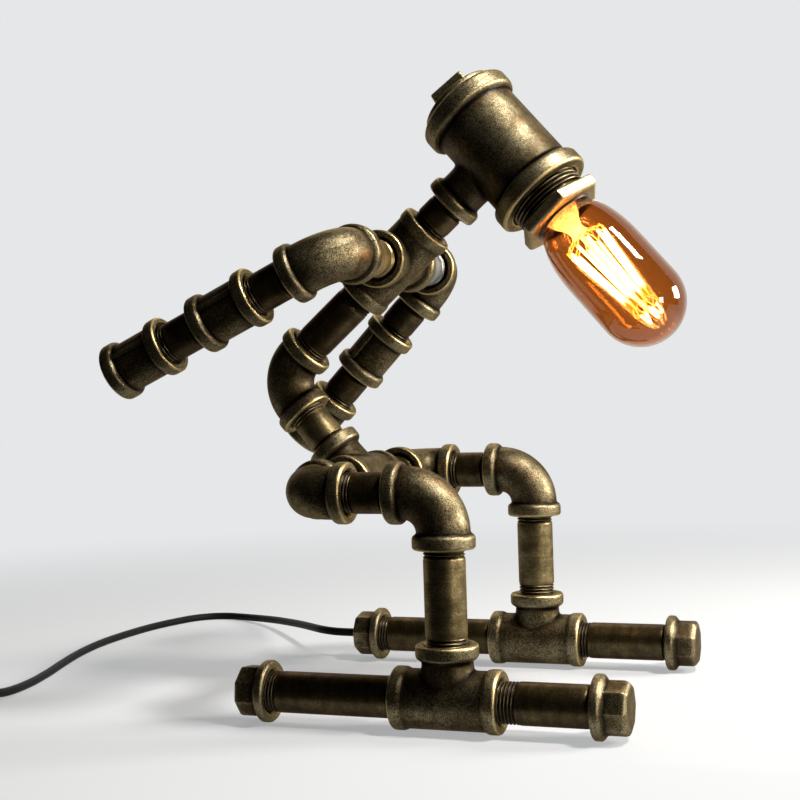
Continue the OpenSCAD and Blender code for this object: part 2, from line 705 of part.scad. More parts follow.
// Power cord on the ground: its route in millimetres from the lamp's own origin
cord_r = cord_d / 2;
exit_x = -heel_end - grommet_lip - mid_x;
switch_at = [-236, -135, switch_split];
coil_r = coil_mid_d / 2 + coil_wide / 2 - cord_r;
coil_at = [switch_at[0] - coil_r, -205];
plug_at = [coil_at[0] - coil_r, -129];
cord_in = 6;
switch_end = switch_len / 2 + nozzle_len;
route_out = [
    [exit_x, leg_y, foot_z], [-88, leg_y, foot_z], [-94, 86.5, 16], [-100, 88.6, 16], [-106, 92.4, 15.8],
    [-112, 98, 15.3], [-125, 113, 13.8], [-140, 131, 11.8], [-156, 149, 9.6], [-172, 166, 7.5],
    [-187, 180, 5.7], [-200, 191, 4.2], [-212, 199, 3.2], [-223, 204.5, 2.6], [-233, 206.5, 2.5],
    [-242, 205, 2.5], [-250, 200, 2.5], [-256.5, 192, 2.5], [-261, 181, 2.5], [-266, 164, 2.5],
    [-269.5, 144, 2.5], [-271, 116, 2.5], [-270, 85, 2.5], [-264.5, 52, 2.5], [-256, 20, 2.5],
    [-247, -10, 2.5], [-240, -40, 2.5], [-236.5, -66, 3.4], [switch_at[0], -84, 6], [switch_at[0], -93, 7.6],
    [switch_at[0], -98, 8], [switch_at[0], -102, 8],
    [switch_at[0], switch_at[1] + switch_end - cord_in, switch_split]
];
route_coil = [
    [switch_at[0], switch_at[1] - switch_end + cord_in, switch_split],
    [switch_at[0], switch_at[1] - switch_end, switch_split], [switch_at[0], -172, 8],
    [switch_at[0], -180, 7.1], [switch_at[0], -193, 4.5], [switch_at[0], coil_at[1], tie_thick + cord_r]
];
route_plug = [
    [plug_at[0], coil_at[1], tie_thick + coil_high - cord_r], [plug_at[0], -196, 7.8], [plug_at[0], -189, 7],
    [plug_at[0], -185, 6.8], [plug_at[0], -181, 6.8],
    [plug_at[0], plug_at[1] - plug_len - plug_relief + cord_in, plug_t / 2]
];

function unit(v) = v / norm(v);
function smooth(p, i, t) =
    let (a = p[max(i - 1, 0)], b = p[i], c = p[i + 1], d = p[min(i + 2, len(p) - 1)])
    0.5 * (2 * b + (c - a) * t + (2 * a - 5 * b + 4 * c - d) * t * t + (3 * b - a - 3 * c + d) * t * t * t);
function smooth_route(p) =
    [for (i = [0 : len(p) - 2]) each [smooth(p, i, 0), smooth(p, i, 0.5)], p[len(p) - 1]];

// Tube of ten sides along a route
module tube(route) {
    path = smooth_route(route);
    n = 10;
    last = len(path) - 1;
    points = [for (i = [0 : last])
        let (
            ahead = unit(path[min(i + 1, last)] - path[max(i - 1, 0)]),
            side = unit(cross([0, 0, 1], ahead)),
            up = cross(ahead, side)
        )
        each [for (k = [0 : n - 1]) path[i] + cord_r * (cos(360 * k / n) * side + sin(360 * k / n) * up)]];
    walls = [for (i = [0 : last - 1]) for (k = [0 : n - 1])
        let (a = i * n + k, b = i * n + (k + 1) % n) [a, a + n, b + n, b]];
    ends = [[for (k = [0 : n - 1]) k], [for (k = [n - 1 : -1 : 0]) last * n + k]];
    polyhedron(points, concat(walls, ends));
}

module power_cord() color(black) {
    tube(route_out);
    tube(route_coil);
    tube(route_plug);
}

module cord_coil() color(black) translate([coil_at[0], coil_at[1], tie_thick]) rotate_extrude() {
    edge = cord_r * 0.8;
    translate([(coil_mid_d - coil_wide) / 2, 0])
        polygon([[edge, 0], [coil_wide - edge, 0], [coil_wide, edge], [coil_wide, coil_high - edge],
            [coil_wide - edge, coil_high], [edge, coil_high], [0, coil_high - edge], [0, edge]]);
}

// Strap round the turns of the coil, on the side away from the lamp
module coil_tie() color(black) translate([coil_at[0], coil_at[1], 0]) rotate([0, 0, 235]) {
    inner = (coil_mid_d - coil_wide) / 2 - 1;
    outer = (coil_mid_d + coil_wide) / 2 + 0.1;
    difference() {
        translate([inner - tie_thick, -tie_w / 2, 0])
            cube([outer - inner + 2 * tie_thick, tie_w, coil_high + 2 * tie_thick]);
        translate([inner, -tie_w, tie_thick]) cube([outer - inner, 2 * tie_w, coil_high]);
    }
}

// Box with round upright corners and bevelled rims, centred over the origin
module soft_box(l, w, h, r, bevel) intersection() {
    linear_extrude(h) union() {
        square([l - 2 * r, w], center = true);
        square([l, w - 2 * r], center = true);
        for (x = [-1, 1], y = [-1, 1]) translate([x * (l / 2 - r), y * (w / 2 - r)]) circle(r);
    }
    translate([0, w / 2 + 1, 0]) rotate([90, 0, 0]) linear_extrude(w + 2) bevelled(l, h, bevel);
    translate([-l / 2 - 1, 0, 0]) rotate([90, 0, 90]) linear_extrude(l + 2) bevelled(w, h, bevel);
}
module bevelled(w, h, b) polygon([[b - w / 2, 0], [w / 2 - b, 0], [w / 2, b], [w / 2, h - b],
    [w / 2 - b, h], [b - w / 2, h], [-w / 2, h - b], [-w / 2, b]]);

// Switch in the cord: two halves with a nozzle at each end, and a rocker between them
rocker_z = switch_split + 3;
pocket_half = rocker_len / 2 + rocker_top * sin(rocker_tilt) + rocker_gap;
rocker_span = rocker_w + 2 * (rocker_gap + rocker_pin_in);
module at_switch() translate([switch_at[0], switch_at[1], 0]) rotate([0, 0, 90]) children();
module switch_shell() difference() {
    union() {
        soft_box(switch_len, switch_w, switch_h, switch_round, 1.2);
        for (s = [-1, 1]) translate([s * (switch_len / 2 - 1), 0, switch_split]) rotate([0, s * 90, 0])
            cylinder(r1 = switch_split - 1, r2 = cord_r + 1.6, h = nozzle_len + 1);
    }
    for (s = [-1, 1]) translate([s * (switch_end - cord_in), 0, switch_split]) rotate([0, s * 90, 0])
        cylinder(r = cord_r + thread_gap, h = cord_in + 1);
    translate([-pocket_half, -rocker_w / 2 - rocker_gap, switch_split])
        cube([2 * pocket_half, rocker_w + 2 * rocker_gap, switch_h]);
    translate([0, 0, rocker_z]) rotate([90, 0, 0])
        cylinder(r = rocker_pin_d / 2 + thread_gap, h = rocker_span, center = true);
}
module switch_base() color(black) at_switch() intersection() {
    switch_shell();
    translate([-switch_len, -switch_w, 0]) cube([2 * switch_len, 2 * switch_w, switch_split]);
}
module switch_cover() color(black) at_switch() intersection() {
    switch_shell();
    translate([-switch_len, -switch_w, switch_split]) cube([2 * switch_len, 2 * switch_w, switch_h]);
}
module switch_rocker() color(black) at_switch() translate([0, 0, rocker_z]) rotate([0, rocker_tilt, 0]) {
    half = rocker_len / 2;
    rotate([90, 0, 0]) linear_extrude(rocker_w, center = true) union() {
        polygon([[-half, rocker_top], [0, rocker_top - rocker_dip], [half, rocker_top],
            [half, rocker_top - 2.8], [3, 0], [-3, 0], [-half, rocker_top - 2.8]]);
        circle(2.6);
    }
    rotate([90, 0, 0]) cylinder(d = rocker_pin_d, h = rocker_span - 0.4, center = true);
}

// Two-pin plug, lying flat with its pins along +Y
module at_plug() translate([plug_at[0], plug_at[1], 0]) children();
module power_plug() color(black) at_plug() difference() {
    union() {
        intersection() {
            linear_extrude(plug_t) polygon([
                [-plug_w / 2 + 3, 0], [-plug_w / 2, -3], [-plug_w / 2, -plug_len * 0.4],
                [-plug_back_w / 2 - 1.5, -plug_len + 2], [-plug_back_w / 2, -plug_len],
                [plug_back_w / 2, -plug_len], [plug_back_w / 2 + 1.5, -plug_len + 2],
                [plug_w / 2, -plug_len * 0.4], [plug_w / 2, -3], [plug_w / 2 - 3, 0]]);
            translate([0, 1, 0]) rotate([90, 0, 0])
                linear_extrude(plug_len + 2) bevelled(plug_w, plug_t, plug_bevel);
        }
        translate([0, -plug_len + 1, plug_t / 2]) rotate([90, 0, 0])
            cylinder(r1 = plug_t / 2 - 1, r2 = cord_r + 1.2, h = plug_relief + 1);
    }
    translate([0, -plug_len - plug_relief + cord_in, plug_t / 2]) rotate([90, 0, 0])
        cylinder(r = cord_r + thread_gap, h = cord_in + 1);
    for (s = [-1, 1]) translate([s * pin_gap / 2, 1, plug_t / 2]) rotate([90, 0, 0])
        cylinder(r = pin_d / 2 + thread_gap, h = pin_in + 1);
}
module plug_pins() color(brass) at_plug() for (s = [-1, 1])
    translate([s * pin_gap / 2, -pin_in, plug_t / 2]) rotate([-90, 0, 0]) {
        cylinder(d = pin_d, h = pin_in + pin_len - 1);
        translate([0, 0, pin_in + pin_len - 1]) cylinder(d1 = pin_d, d2 = pin_d - 1.4, h = 1);
    }

foot_tee(-1);  // right_foot_tee
heel_nipple(-1, right_heel_show);  // right_heel_nipple
toe_nipple(-1, right_toe_show);  // right_toe_nipple
heel_cap(-1, right_heel_show, 28.8, 0);  // right_heel_cap
toe_cap(-1, right_toe_show, 0);  // right_toe_cap
shin_nipple(-1);  // right_shin_nipple
knee_elbow(-1);  // right_knee_elbow
thigh_nipple(-1);  // right_thigh_nipple
hip_elbow(-1);  // right_hip_elbow
hip_nipple(-1);  // right_hip_nipple
foot_tee(1);  // left_foot_tee
heel_nipple(1, left_heel_show);  // left_heel_nipple
toe_nipple(1, left_toe_show);  // left_toe_nipple
heel_cap(1, left_heel_show, 10, grommet_neck_r + thread_gap);  // left_heel_cap
toe_cap(1, left_toe_show, 22.5);  // left_toe_cap
shin_nipple(1);  // left_shin_nipple
knee_elbow(1);  // left_knee_elbow
thigh_nipple(1);  // left_thigh_nipple
hip_elbow(1);  // left_hip_elbow
hip_nipple(1);  // left_hip_nipple
pelvis_tee();
waist_nipple();
back_elbow();
trunk_nipple();
chest_cross();
shoulder_nipple(-1);  // right_shoulder_nipple
shoulder_nipple(1);  // left_shoulder_nipple
neck_nipple();
shoulder_elbow(-1, right_arm_tilt);  // right_shoulder_elbow
upper_arm_nipple(-1, right_arm_tilt);  // right_upper_arm_nipple
arm_coupling(-1, right_arm_tilt);  // right_arm_coupling
forearm_nipple(-1, right_arm_tilt);  // right_forearm_nipple
hand_coupling(-1, right_arm_tilt);  // right_hand_coupling
shoulder_elbow(1, left_arm_tilt);  // left_shoulder_elbow
upper_arm_nipple(1, left_arm_tilt);  // left_upper_arm_nipple
arm_coupling(1, left_arm_tilt);  // left_arm_coupling
forearm_nipple(1, left_arm_tilt);  // left_forearm_nipple
hand_coupling(1, left_arm_tilt);  // left_hand_coupling
head_tee();
crown_plug();
head_bushing();
lampholder();
screw_shell();
centre_contact();
bulb_cap();
bulb_glass();
bulb_stem();
bulb_filament();
leg_lead();
trunk_lead();
head_lead();
cord_grommet();
power_cord();
cord_coil();
coil_tie();
switch_base();
switch_cover();
switch_rocker();
power_plug();
plug_pins();
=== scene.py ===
import json
import math

import bpy
import numpy as np
from mathutils import Matrix, Vector

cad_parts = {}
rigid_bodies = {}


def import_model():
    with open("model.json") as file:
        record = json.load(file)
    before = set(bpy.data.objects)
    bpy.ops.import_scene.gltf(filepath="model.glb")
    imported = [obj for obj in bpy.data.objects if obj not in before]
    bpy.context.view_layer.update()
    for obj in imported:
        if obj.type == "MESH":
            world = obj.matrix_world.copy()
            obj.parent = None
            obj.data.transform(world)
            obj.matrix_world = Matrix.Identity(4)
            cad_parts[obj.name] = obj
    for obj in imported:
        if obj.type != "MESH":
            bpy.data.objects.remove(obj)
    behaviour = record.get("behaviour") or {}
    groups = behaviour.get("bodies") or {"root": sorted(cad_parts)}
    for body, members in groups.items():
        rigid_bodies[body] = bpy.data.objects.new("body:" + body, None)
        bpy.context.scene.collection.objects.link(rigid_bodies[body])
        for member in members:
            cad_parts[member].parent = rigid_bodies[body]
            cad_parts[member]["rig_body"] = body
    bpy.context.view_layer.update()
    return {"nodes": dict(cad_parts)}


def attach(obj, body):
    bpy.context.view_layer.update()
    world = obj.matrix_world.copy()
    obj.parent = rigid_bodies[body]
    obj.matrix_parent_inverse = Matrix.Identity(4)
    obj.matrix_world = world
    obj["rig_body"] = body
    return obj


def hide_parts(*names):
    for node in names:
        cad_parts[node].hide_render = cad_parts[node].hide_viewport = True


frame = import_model()
print("frame loaded")


# Camera, placed from its own three directions

camera = {"place": (0.27215, -0.76385, 0.17538), "turn": 20.5, "rise": 0.76, "roll": -1.85, "lens": 65.015}


def addCamera():
    turn, rise, roll = (math.radians(camera[name]) for name in ("turn", "rise", "roll"))
    back = Vector((math.sin(turn) * math.cos(rise), -math.cos(turn) * math.cos(rise), math.sin(rise)))
    level = Vector((math.cos(turn), math.sin(turn), 0))
    upward = back.cross(level)
    right = level * math.cos(roll) + upward * math.sin(roll)
    up = upward * math.cos(roll) - level * math.sin(roll)
    bpy.ops.object.camera_add()
    eye = bpy.context.object
    eye.name = "lampCamera"
    eye.data.lens = camera["lens"]
    eye.data.clip_end = 50
    eye.matrix_world = Matrix.Translation(camera["place"]) @ Matrix((right, up, back)).transposed().to_4x4()
    bpy.context.scene.camera = eye


addCamera()


# Shader maths: a wrapped socket, so that plain expressions add their own nodes

class Flow:
    def __init__(self, tree, socket=None):
        self.tree = tree
        self.socket = socket

    def node(self, kind, settings, values, output=0):
        made = self.tree.nodes.new(kind)
        for name, value in settings.items():
            setattr(made, name, value)
        for name, value in values.items():
            if isinstance(value, Flow):
                self.tree.links.new(value.socket, made.inputs[name])
            else:
                made.inputs[name].default_value = value
        return Flow(self.tree, made.outputs[output] if len(made.outputs) else None)

    def maths(self, operation, *values):
        return self.node("ShaderNodeMath", {"operation": operation}, dict(enumerate(values)))

    def __add__(self, other):
        return self.maths("ADD", self, other)

    def __sub__(self, other):
        return self.maths("SUBTRACT", self, other)

    def __rsub__(self, other):
        return self.maths("SUBTRACT", other, self)

    def __mul__(self, other):
        return self.maths("MULTIPLY", self, other)

    __radd__ = __add__


def rising(value, low, high, start=0.0, end=1.0):  # smooth step from start to end
    return value.node("ShaderNodeMapRange", {"interpolation_type": "SMOOTHSTEP"},
                      {"Value": value, "From Min": low, "From Max": high, "To Min": start, "To Max": end})


def blended(share, first, second):  # mixes two colours
    return share.node("ShaderNodeMix", {"data_type": "RGBA"},
                      {0: share, 6: colourOf(first), 7: colourOf(second)}, 2)


def colourOf(colour):
    return colour if isinstance(colour, Flow) else (*colour, 1)


def stretched(vector, scale):
    return vector.node("ShaderNodeVectorMath", {"operation": "MULTIPLY"}, {0: vector, 1: scale})


def grain(vector, scale, detail=2.0, roughness=0.5, distortion=0.0):
    return vector.node("ShaderNodeTexNoise", {}, {"Vector": vector, "Scale": scale, "Detail": detail,
                                                  "Roughness": roughness, "Distortion": distortion})


def mark(start, name, output=0):  # reads an attribute that the piece carries
    return start.node("ShaderNodeAttribute", {"attribute_name": name}, {}, output)


def newMaterial(name):
    material = bpy.data.materials.new(name)
    material.use_nodes = True
    material.node_tree.nodes.clear()
    return material, Flow(material.node_tree)


def surfaced(start, values, shader="ShaderNodeBsdfPrincipled"):
    shade = start.node(shader, {}, values)
    start.node("ShaderNodeOutputMaterial", {}, {"Surface": shade})


def bumped(height, strength, depth):
    return height.node("ShaderNodeBump", {}, {"Height": height, "Strength": strength, "Distance": depth})


# Finishes. The mark "lie" holds each piece's own millimetres and "rub" its high edges; the hollows' mark
# darkens them partly as grime and partly as painted shade

castFinish = {"dark": (0.020, 0.0150, 0.006), "brown": (0.058, 0.041, 0.017), "rust": (0.072, 0.038, 0.011),
              "gold": (0.350, 0.290, 0.170), "rim": (0.68, 0.51, 0.22), "soot": (0.003, 0.0022, 0.001),
              "tint": (0.48, 0.40, 0.29, 1)}
bushingFinish = dict(castFinish, dark=(0.16, 0.12, 0.06), brown=(0.38, 0.29, 0.15), rust=(0.34, 0.23, 0.10),
                     gold=(0.48, 0.39, 0.24), rim=(0.56, 0.46, 0.27))


def castMaterial(name, looks):
    material, start = newMaterial(name)
    lie = mark(start, "lie", 1)
    rub, soot, seam, broad = (mark(start, part, 2) for part in ("rub", "soot", "seam", "broad"))
    fine = grain(lie, 1.7, 4, 0.72)
    coarse = grain(lie, 0.55, 3, 0.6)
    patches = grain(lie, 0.06, 3, 0.6, 0.4)
    worn = rising(patches * 0.6 + broad * 0.4 + coarse * 0.2, 0.40, 0.85)
    brown = blended(rising(grain(lie, 0.11, 3, 0.7), 0.50, 0.72), looks["brown"], looks["rust"])
    base = blended(rising(fine * 0.6 + coarse * 0.4, 0.36, 0.60), looks["dark"], brown)
    base = blended(rising(fine * 0.8 + worn * 0.14, 0.42, 0.66) * (worn * 0.75 + 0.2), base, looks["gold"])
    rim = rising(rub + fine * 0.4, 1.02, 1.34)
    base = blended(rim * 0.85, base, looks["rim"])
    # hollows turn near black: partly grime, partly painted shade
    base = blended(rising(soot, 0.12, 0.9) * (1 - rim), base, looks["soot"])
    base = blended(seam * 0.85, base, looks["soot"])
    rough = 0.42 - worn * 0.08 - rim * 0.08 + rising(fine, 0.3, 0.7) * 0.12
    height = fine * 0.8 + coarse * 0.6
    surfaced(start, {"Base Color": base, "Metallic": 1.0, "Roughness": rough, "Specular Tint": looks["tint"],
                     "Coat Weight": 0.14, "Coat Roughness": 0.36, "Normal": bumped(height, 0.75, 0.0002)})
    return material


pipeFinish = {"dark": (0.026, 0.0185, 0.008), "brown": (0.066, 0.047, 0.019), "gold": (0.165, 0.120, 0.052),
              "rim": (0.17, 0.130, 0.06), "tint": (0.42, 0.34, 0.25, 1)}
# a brighter copy of the dark pipe finish for the shins and waist: partly wear, partly painted light where
# those pipes are lit
wornPaintedLitPipeFinish = {"dark": (0.055, 0.041, 0.018), "brown": (0.185, 0.140, 0.064), "gold": (0.40, 0.310, 0.155),
                  "rim": (0.25, 0.19, 0.09), "tint": (0.5, 0.42, 0.32, 1)}
goldPipeFinish = {"dark": (0.16, 0.11, 0.045), "brown": (0.42, 0.31, 0.13), "gold": (0.62, 0.48, 0.22),
                  "rim": (0.75, 0.60, 0.32), "tint": (0.8, 0.75, 0.65, 1)}
barePipeFinish = {"dark": (0.16, 0.155, 0.145), "brown": (0.34, 0.335, 0.32), "gold": (0.52, 0.51, 0.49),
                  "rim": (0.7, 0.69, 0.66), "tint": (0.85, 0.85, 0.85, 1)}


def pipeMaterial(name, looks):
    material, start = newMaterial(name)
    lie = mark(start, "lie", 1)
    rub, soot = (mark(start, part, 2) for part in ("rub", "soot"))
    lines = grain(stretched(lie, (0.04, 0.04, 1.1)), 1.0, 3, 0.55)
    smear = grain(stretched(lie, (0.10, 0.10, 0.16)), 1.0, 3, 0.55, 0.3)
    fine = grain(lie, 1.9, 3, 0.65)
    base = blended(rising(smear * 0.4 + lines * 0.1 + fine * 0.5, 0.34, 0.64), looks["dark"], looks["brown"])
    polish = rising(lines * 0.15 + fine * 0.85, 0.44, 0.70) * rising(smear, 0.30, 0.70)
    base = blended(polish, base, looks["gold"])
    base = blended(rising(rub + fine * 0.3, 0.55, 1.1), base, looks["rim"])
    # thread roots and the bore turn near black: partly grime, partly painted shade
    base = blended(rising(soot, 0.15, 0.7) * 0.9, base, (0.006, 0.005, 0.004))
    rough = 0.42 + fine * 0.1 - smear * 0.10
    height = lines * 0.3 + fine * 0.7
    surfaced(start, {"Base Color": base, "Metallic": 1.0, "Roughness": rough, "Specular Tint": looks["tint"],
                     "Coat Weight": 0.16, "Coat Roughness": 0.32, "Normal": bumped(height, 0.35, 0.00012)})
    return material


def plainMaterial(name, low, high, rough, metallic=0.0, scale=900.0, depth=0.00005, shine=0.5):
    material, start = newMaterial(name)
    here = start.node("ShaderNodeTexCoord", {}, {}, 3)
    fine = grain(here, scale, 3, 0.6)
    cloud = grain(here, scale / 14, 2, 0.5)
    surfaced(start, {"Base Color": blended(rising(fine * 0.5 + cloud * 0.5, 0.35, 0.65), low, high),
                     "Metallic": metallic, "Roughness": rough + (fine - 0.5) * 0.16,
                     "Specular IOR Level": shine, "Normal": bumped(fine, 0.25, depth)})
    return material


def glassMaterial(name, centre, edge):
    material, start = newMaterial(name)
    facing = start.node("ShaderNodeLayerWeight", {}, {"Blend": 0.35}, 1)
    surfaced(start, {"Base Color": blended(facing, centre, edge), "Roughness": 0.0, "IOR": 1.45,
                     "Transmission Weight": 1.0})
    return material


def stemMaterial(name, strength):  # pressed glass given a painted glow for the wires' light it carries, strongest at its tip
    material, start = newMaterial(name)
    lie = mark(start, "lie", 1)
    height = lie.node("ShaderNodeSeparateXYZ", {}, {0: lie}, 2)
    glowing = rising(height + grain(lie, 0.35, 4, 0.7) * 60, 32, 64)
    paintedGlow = blended(glowing, (0.16, 0.05, 0.006), (1.0, 0.88, 0.50))
    surfaced(start, {"Base Color": blended(rising(height, 10, 34), (0.80, 0.55, 0.30), (0.96, 0.90, 0.80)),
                     "Roughness": 0.12, "IOR": 1.5, "Transmission Weight": 0.7,
                     "Emission Color": paintedGlow, "Emission Strength": strength})
    return material


def glowMaterial(name, low, high, strength, held=None):  # wires can turn dim where their lower ends are held
    material, start = newMaterial(name)
    here = start.node("ShaderNodeTexCoord", {}, {}, 3)
    colour = blended(rising(grain(here, 260, 2, 0.5), 0.35, 0.65), low, high)
    if held:
        height = start.node("ShaderNodeSeparateXYZ", {}, {0: mark(start, "lie", 1)}, 2)
        colour = blended(rising(height, -11, -4) * rising(height, 4, 7, 1.0, 0.0), colour, held)
    surfaced(start, {"Base Color": (0.9, 0.6, 0.3, 1), "Emission Color": colour,
                     "Emission Strength": strength})
    return material


finishes = {
    "casting": castMaterial("bronzedCasting", castFinish),
    "pipe": pipeMaterial("darkPipe", pipeFinish),
    "wornPaintedLitPipe": pipeMaterial("wornPaintedLitPipe", wornPaintedLitPipeFinish),
    "goldPipe": pipeMaterial("rubbedPipe", goldPipeFinish),
    "barePipe": pipeMaterial("barePipe", barePipeFinish),
    "bushing": castMaterial("goldenBushing", bushingFinish),
    "holder": plainMaterial("blackHolder", (0.012, 0.011, 0.010), (0.022, 0.020, 0.018), 0.32),
    "brass": plainMaterial("plainBrass", (0.45, 0.32, 0.12), (0.72, 0.55, 0.26), 0.34, metallic=1.0),
    "amber": glassMaterial("amberGlass", (0.68, 0.350, 0.135), (0.38, 0.15, 0.05)),
    "clear": stemMaterial("stemGlassPaintedGlow", 4.0),
    "glow": glowMaterial("glowingWire", (1.0, 0.76, 0.42), (1.0, 0.86, 0.56), 45.0, (0.040, 0.014, 0.0012)),
    # the filament's support wires get a painted glow, though they are no lamp
    "ember": glowMaterial("supportWirePaintedGlow", (1.0, 0.46, 0.10), (1.0, 0.66, 0.24), 3.5),
    "rubber": plainMaterial("blackRubber", (0.010, 0.010, 0.010), (0.020, 0.019, 0.018), 0.62),
    "cord": plainMaterial("blackCord", (0.004, 0.004, 0.004), (0.008, 0.008, 0.008), 0.5, scale=1400.0,
                          shine=0.06),
    "plastic": plainMaterial("blackPlastic", (0.016, 0.016, 0.017), (0.028, 0.028, 0.029), 0.42,
                             scale=2200.0, depth=0.00008),
}
print("finishes mixed")


# Power cord: its route in millimetres, the same points as the source, then a round coil and the plug

cordShape = {"diameter": 5.0, "exit": (-80.46, 85.8, 16.0), "length": 1.8, "steps": 4,
             "coilCentre": (-271.0, -205.0), "outerTurn": 35.0, "innerTurn": 18.9, "turns": 6.5,
             "lowLayer": 3.3, "highLayer": 8.3}
routeOut = [
    (-80.46, 85.8, 16), (-88, 85.8, 16), (-94, 86.5, 16), (-100, 88.6, 16), (-106, 92.4, 15.8),
    (-112, 98, 15.3), (-125, 113, 13.8), (-140, 131, 11.8), (-156, 149, 9.6), (-172, 166, 7.5),
    (-187, 180, 5.7), (-200, 191, 4.2), (-212, 199, 3.2), (-223, 204.5, 2.6), (-233, 206.5, 2.5),
    (-242, 205, 2.5), (-250, 200, 2.5), (-256.5, 192, 2.5), (-261, 181, 2.5), (-266, 164, 2.5),
    (-269.5, 144, 2.5), (-271, 116, 2.5), (-270, 85, 2.5), (-264.5, 52, 2.5), (-256, 20, 2.5),
    (-247, -10, 2.5), (-240, -40, 2.5), (-236.5, -66, 3.4), (-236, -84, 6), (-236, -93, 7.6), (-236, -98, 8),
    (-236, -102, 8), (-236, -110, 8), (-236, -118, 6.7), (-236, -127, 5.0), (-236, -135, 4.6),
    (-236, -143, 5.0), (-236, -152, 6.7), (-236, -160, 8), (-236, -166, 8), (-236, -172, 8),
    (-236, -180, 7.1), (-236, -193, 4.5),
]
routePlug = [(-306, -196, 7.8), (-306, -189, 7), (-306, -185, 6.8), (-306, -181, 6.8), (-306, -173, 6.8)]


def coilPoints():  # inwards in the low layer, up in the middle and outwards in the high layer
    x, y = cordShape["coilCentre"]
    inner, outer = cordShape["innerTurn"], cordShape["outerTurn"]
    low, high = cordShape["lowLayer"], cordShape["highLayer"]
    half = cordShape["turns"] / 2
    steps = int(cordShape["turns"] * 24)
    found = []
    for step in range(steps + 1):
        turn = cordShape["turns"] * step / steps
        radius = inner + (outer - inner) * (abs(turn - half) / half)
        climb = min(1, max(0, (turn - half) * 2.2 + 0.5))
        height = low + (high - low) * (climb * climb * (3 - 2 * climb))
        angle = -2 * math.pi * turn
        found.append((x + radius * math.cos(angle), y + radius * math.sin(angle), height))
    return found


def smoothRoute(points, steps):
    knots = [Vector(point) for point in points]
    made = []
    for i in range(len(knots) - 1):
        a, b, c, d = knots[max(i - 1, 0)], knots[i], knots[i + 1], knots[min(i + 2, len(knots) - 1)]
        for step in range(steps):
            t = step / steps
            made.append(0.5 * (2 * b + (c - a) * t + (2 * a - 5 * b + 4 * c - d) * t * t
                               + (3 * b - a - 3 * c + d) * t ** 3))
    return made + [knots[-1]]


def addLine(name, route, thick, rings):  # round line through points
    line = bpy.data.curves.new(name + "Line", "CURVE")
    line.dimensions = "3D"
    line.bevel_depth = thick / 2
    line.bevel_resolution = rings
    line.use_fill_caps = True
    spline = line.splines.new("POLY")
    spline.points.add(len(route) - 1)
    for point, place in zip(spline.points, route):
        point.co = (*place, 1)
    spline.use_smooth = True
    piece = bpy.data.objects.new(name, line)
    bpy.context.scene.collection.objects.link(piece)
    return piece


cordPoints = [point / 1000 for point in smoothRoute(routeOut + coilPoints() + routePlug, cordShape["steps"])]
powerCord = addLine("powerCord", cordPoints, cordShape["diameter"] / 1000, 5)
powerCord.data.materials.append(finishes["cord"])
print("cord length", round(sum((b - a).length for a, b in zip(cordPoints, cordPoints[1:])), 4))


# Bench helpers: pieces are shaped in millimetres at the bench and then put in their places

def pick(*pieces):
    for thing in bpy.context.selected_objects:
        thing.select_set(False)
    for piece in pieces:
        piece.select_set(True)
    bpy.context.view_layer.objects.active = pieces[0]


def settled(piece):  # the object's place goes into its mesh
    piece.data.transform(piece.matrix_basis)
    piece.matrix_basis = Matrix.Identity(4)
    return piece


def closeUp():  # in edit mode: closes the open ends and turns all faces outwards
    bpy.ops.mesh.select_all(action="SELECT")
    bpy.ops.mesh.remove_doubles(threshold=0.0005)
    bpy.ops.mesh.fill_holes(sides=0)
    bpy.ops.mesh.select_all(action="SELECT")
    bpy.ops.mesh.normals_make_consistent(inside=False)
    bpy.ops.object.mode_set(mode="OBJECT")


core = 0.4  # radius of the little hole at a profile's two ends, which closeUp fills


def turned(name, profile, sides=64, ring=False):  # a circle extruded through (radius, z) or (wide, deep, z)
    pick(bpy.context.scene.camera)
    first = profile[0]
    bpy.ops.mesh.primitive_circle_add(vertices=sides, radius=first[0], location=(0, 0, first[-1]))
    piece = bpy.context.object
    piece.name = name
    bpy.ops.object.mode_set(mode="EDIT")
    steps = profile[1:] + ([first] if ring else [])
    for before, after in zip(profile, steps):
        bpy.ops.mesh.extrude_region_move(TRANSFORM_OT_translate={"value": (0, 0, after[-1] - before[-1])})
        wide, deep = after[0] / before[0], after[-2] / before[-2]
        if abs(wide - 1) > 1e-6 or abs(deep - 1) > 1e-6:
            bpy.ops.transform.resize(value=(wide, deep, 1), center_override=(0, 0, after[-1]))
    closeUp()
    return settled(piece)


def rod(name, radius, low, high, sides=96):
    return turned(name, [(core, low), (radius, low), (radius, high), (core, high)], sides)


def boxed(name, size, middle, bevel=0.0):
    pick(bpy.context.scene.camera)
    bpy.ops.mesh.primitive_cube_add(size=1, location=middle)
    piece = bpy.context.object
    piece.name = name
    bpy.ops.object.mode_set(mode="EDIT")
    bpy.ops.transform.resize(value=size, center_override=middle)
    if bevel:
        bpy.ops.mesh.bevel(offset=bevel, segments=2, affect="EDGES")
    bpy.ops.object.mode_set(mode="OBJECT")
    return settled(piece)


def joined(name, *pieces):
    pick(*pieces)
    if len(pieces) > 1:
        bpy.ops.object.join()
    piece = bpy.context.object
    piece.name = name
    return piece


def moved(piece, matrix):
    piece.data.transform(matrix)
    return piece


def copied(piece, name, matrix=Matrix.Identity(4)):
    twin = bpy.data.objects.new(name, piece.data.copy())
    bpy.context.scene.collection.objects.link(twin)
    return moved(twin, matrix)


def modified(piece, kind, **settings):
    pick(piece)
    modifier = piece.modifiers.new(kind.lower(), kind)
    for name, value in settings.items():
        setattr(modifier, name, value)
    bpy.ops.object.modifier_apply(modifier=modifier.name)
    return piece


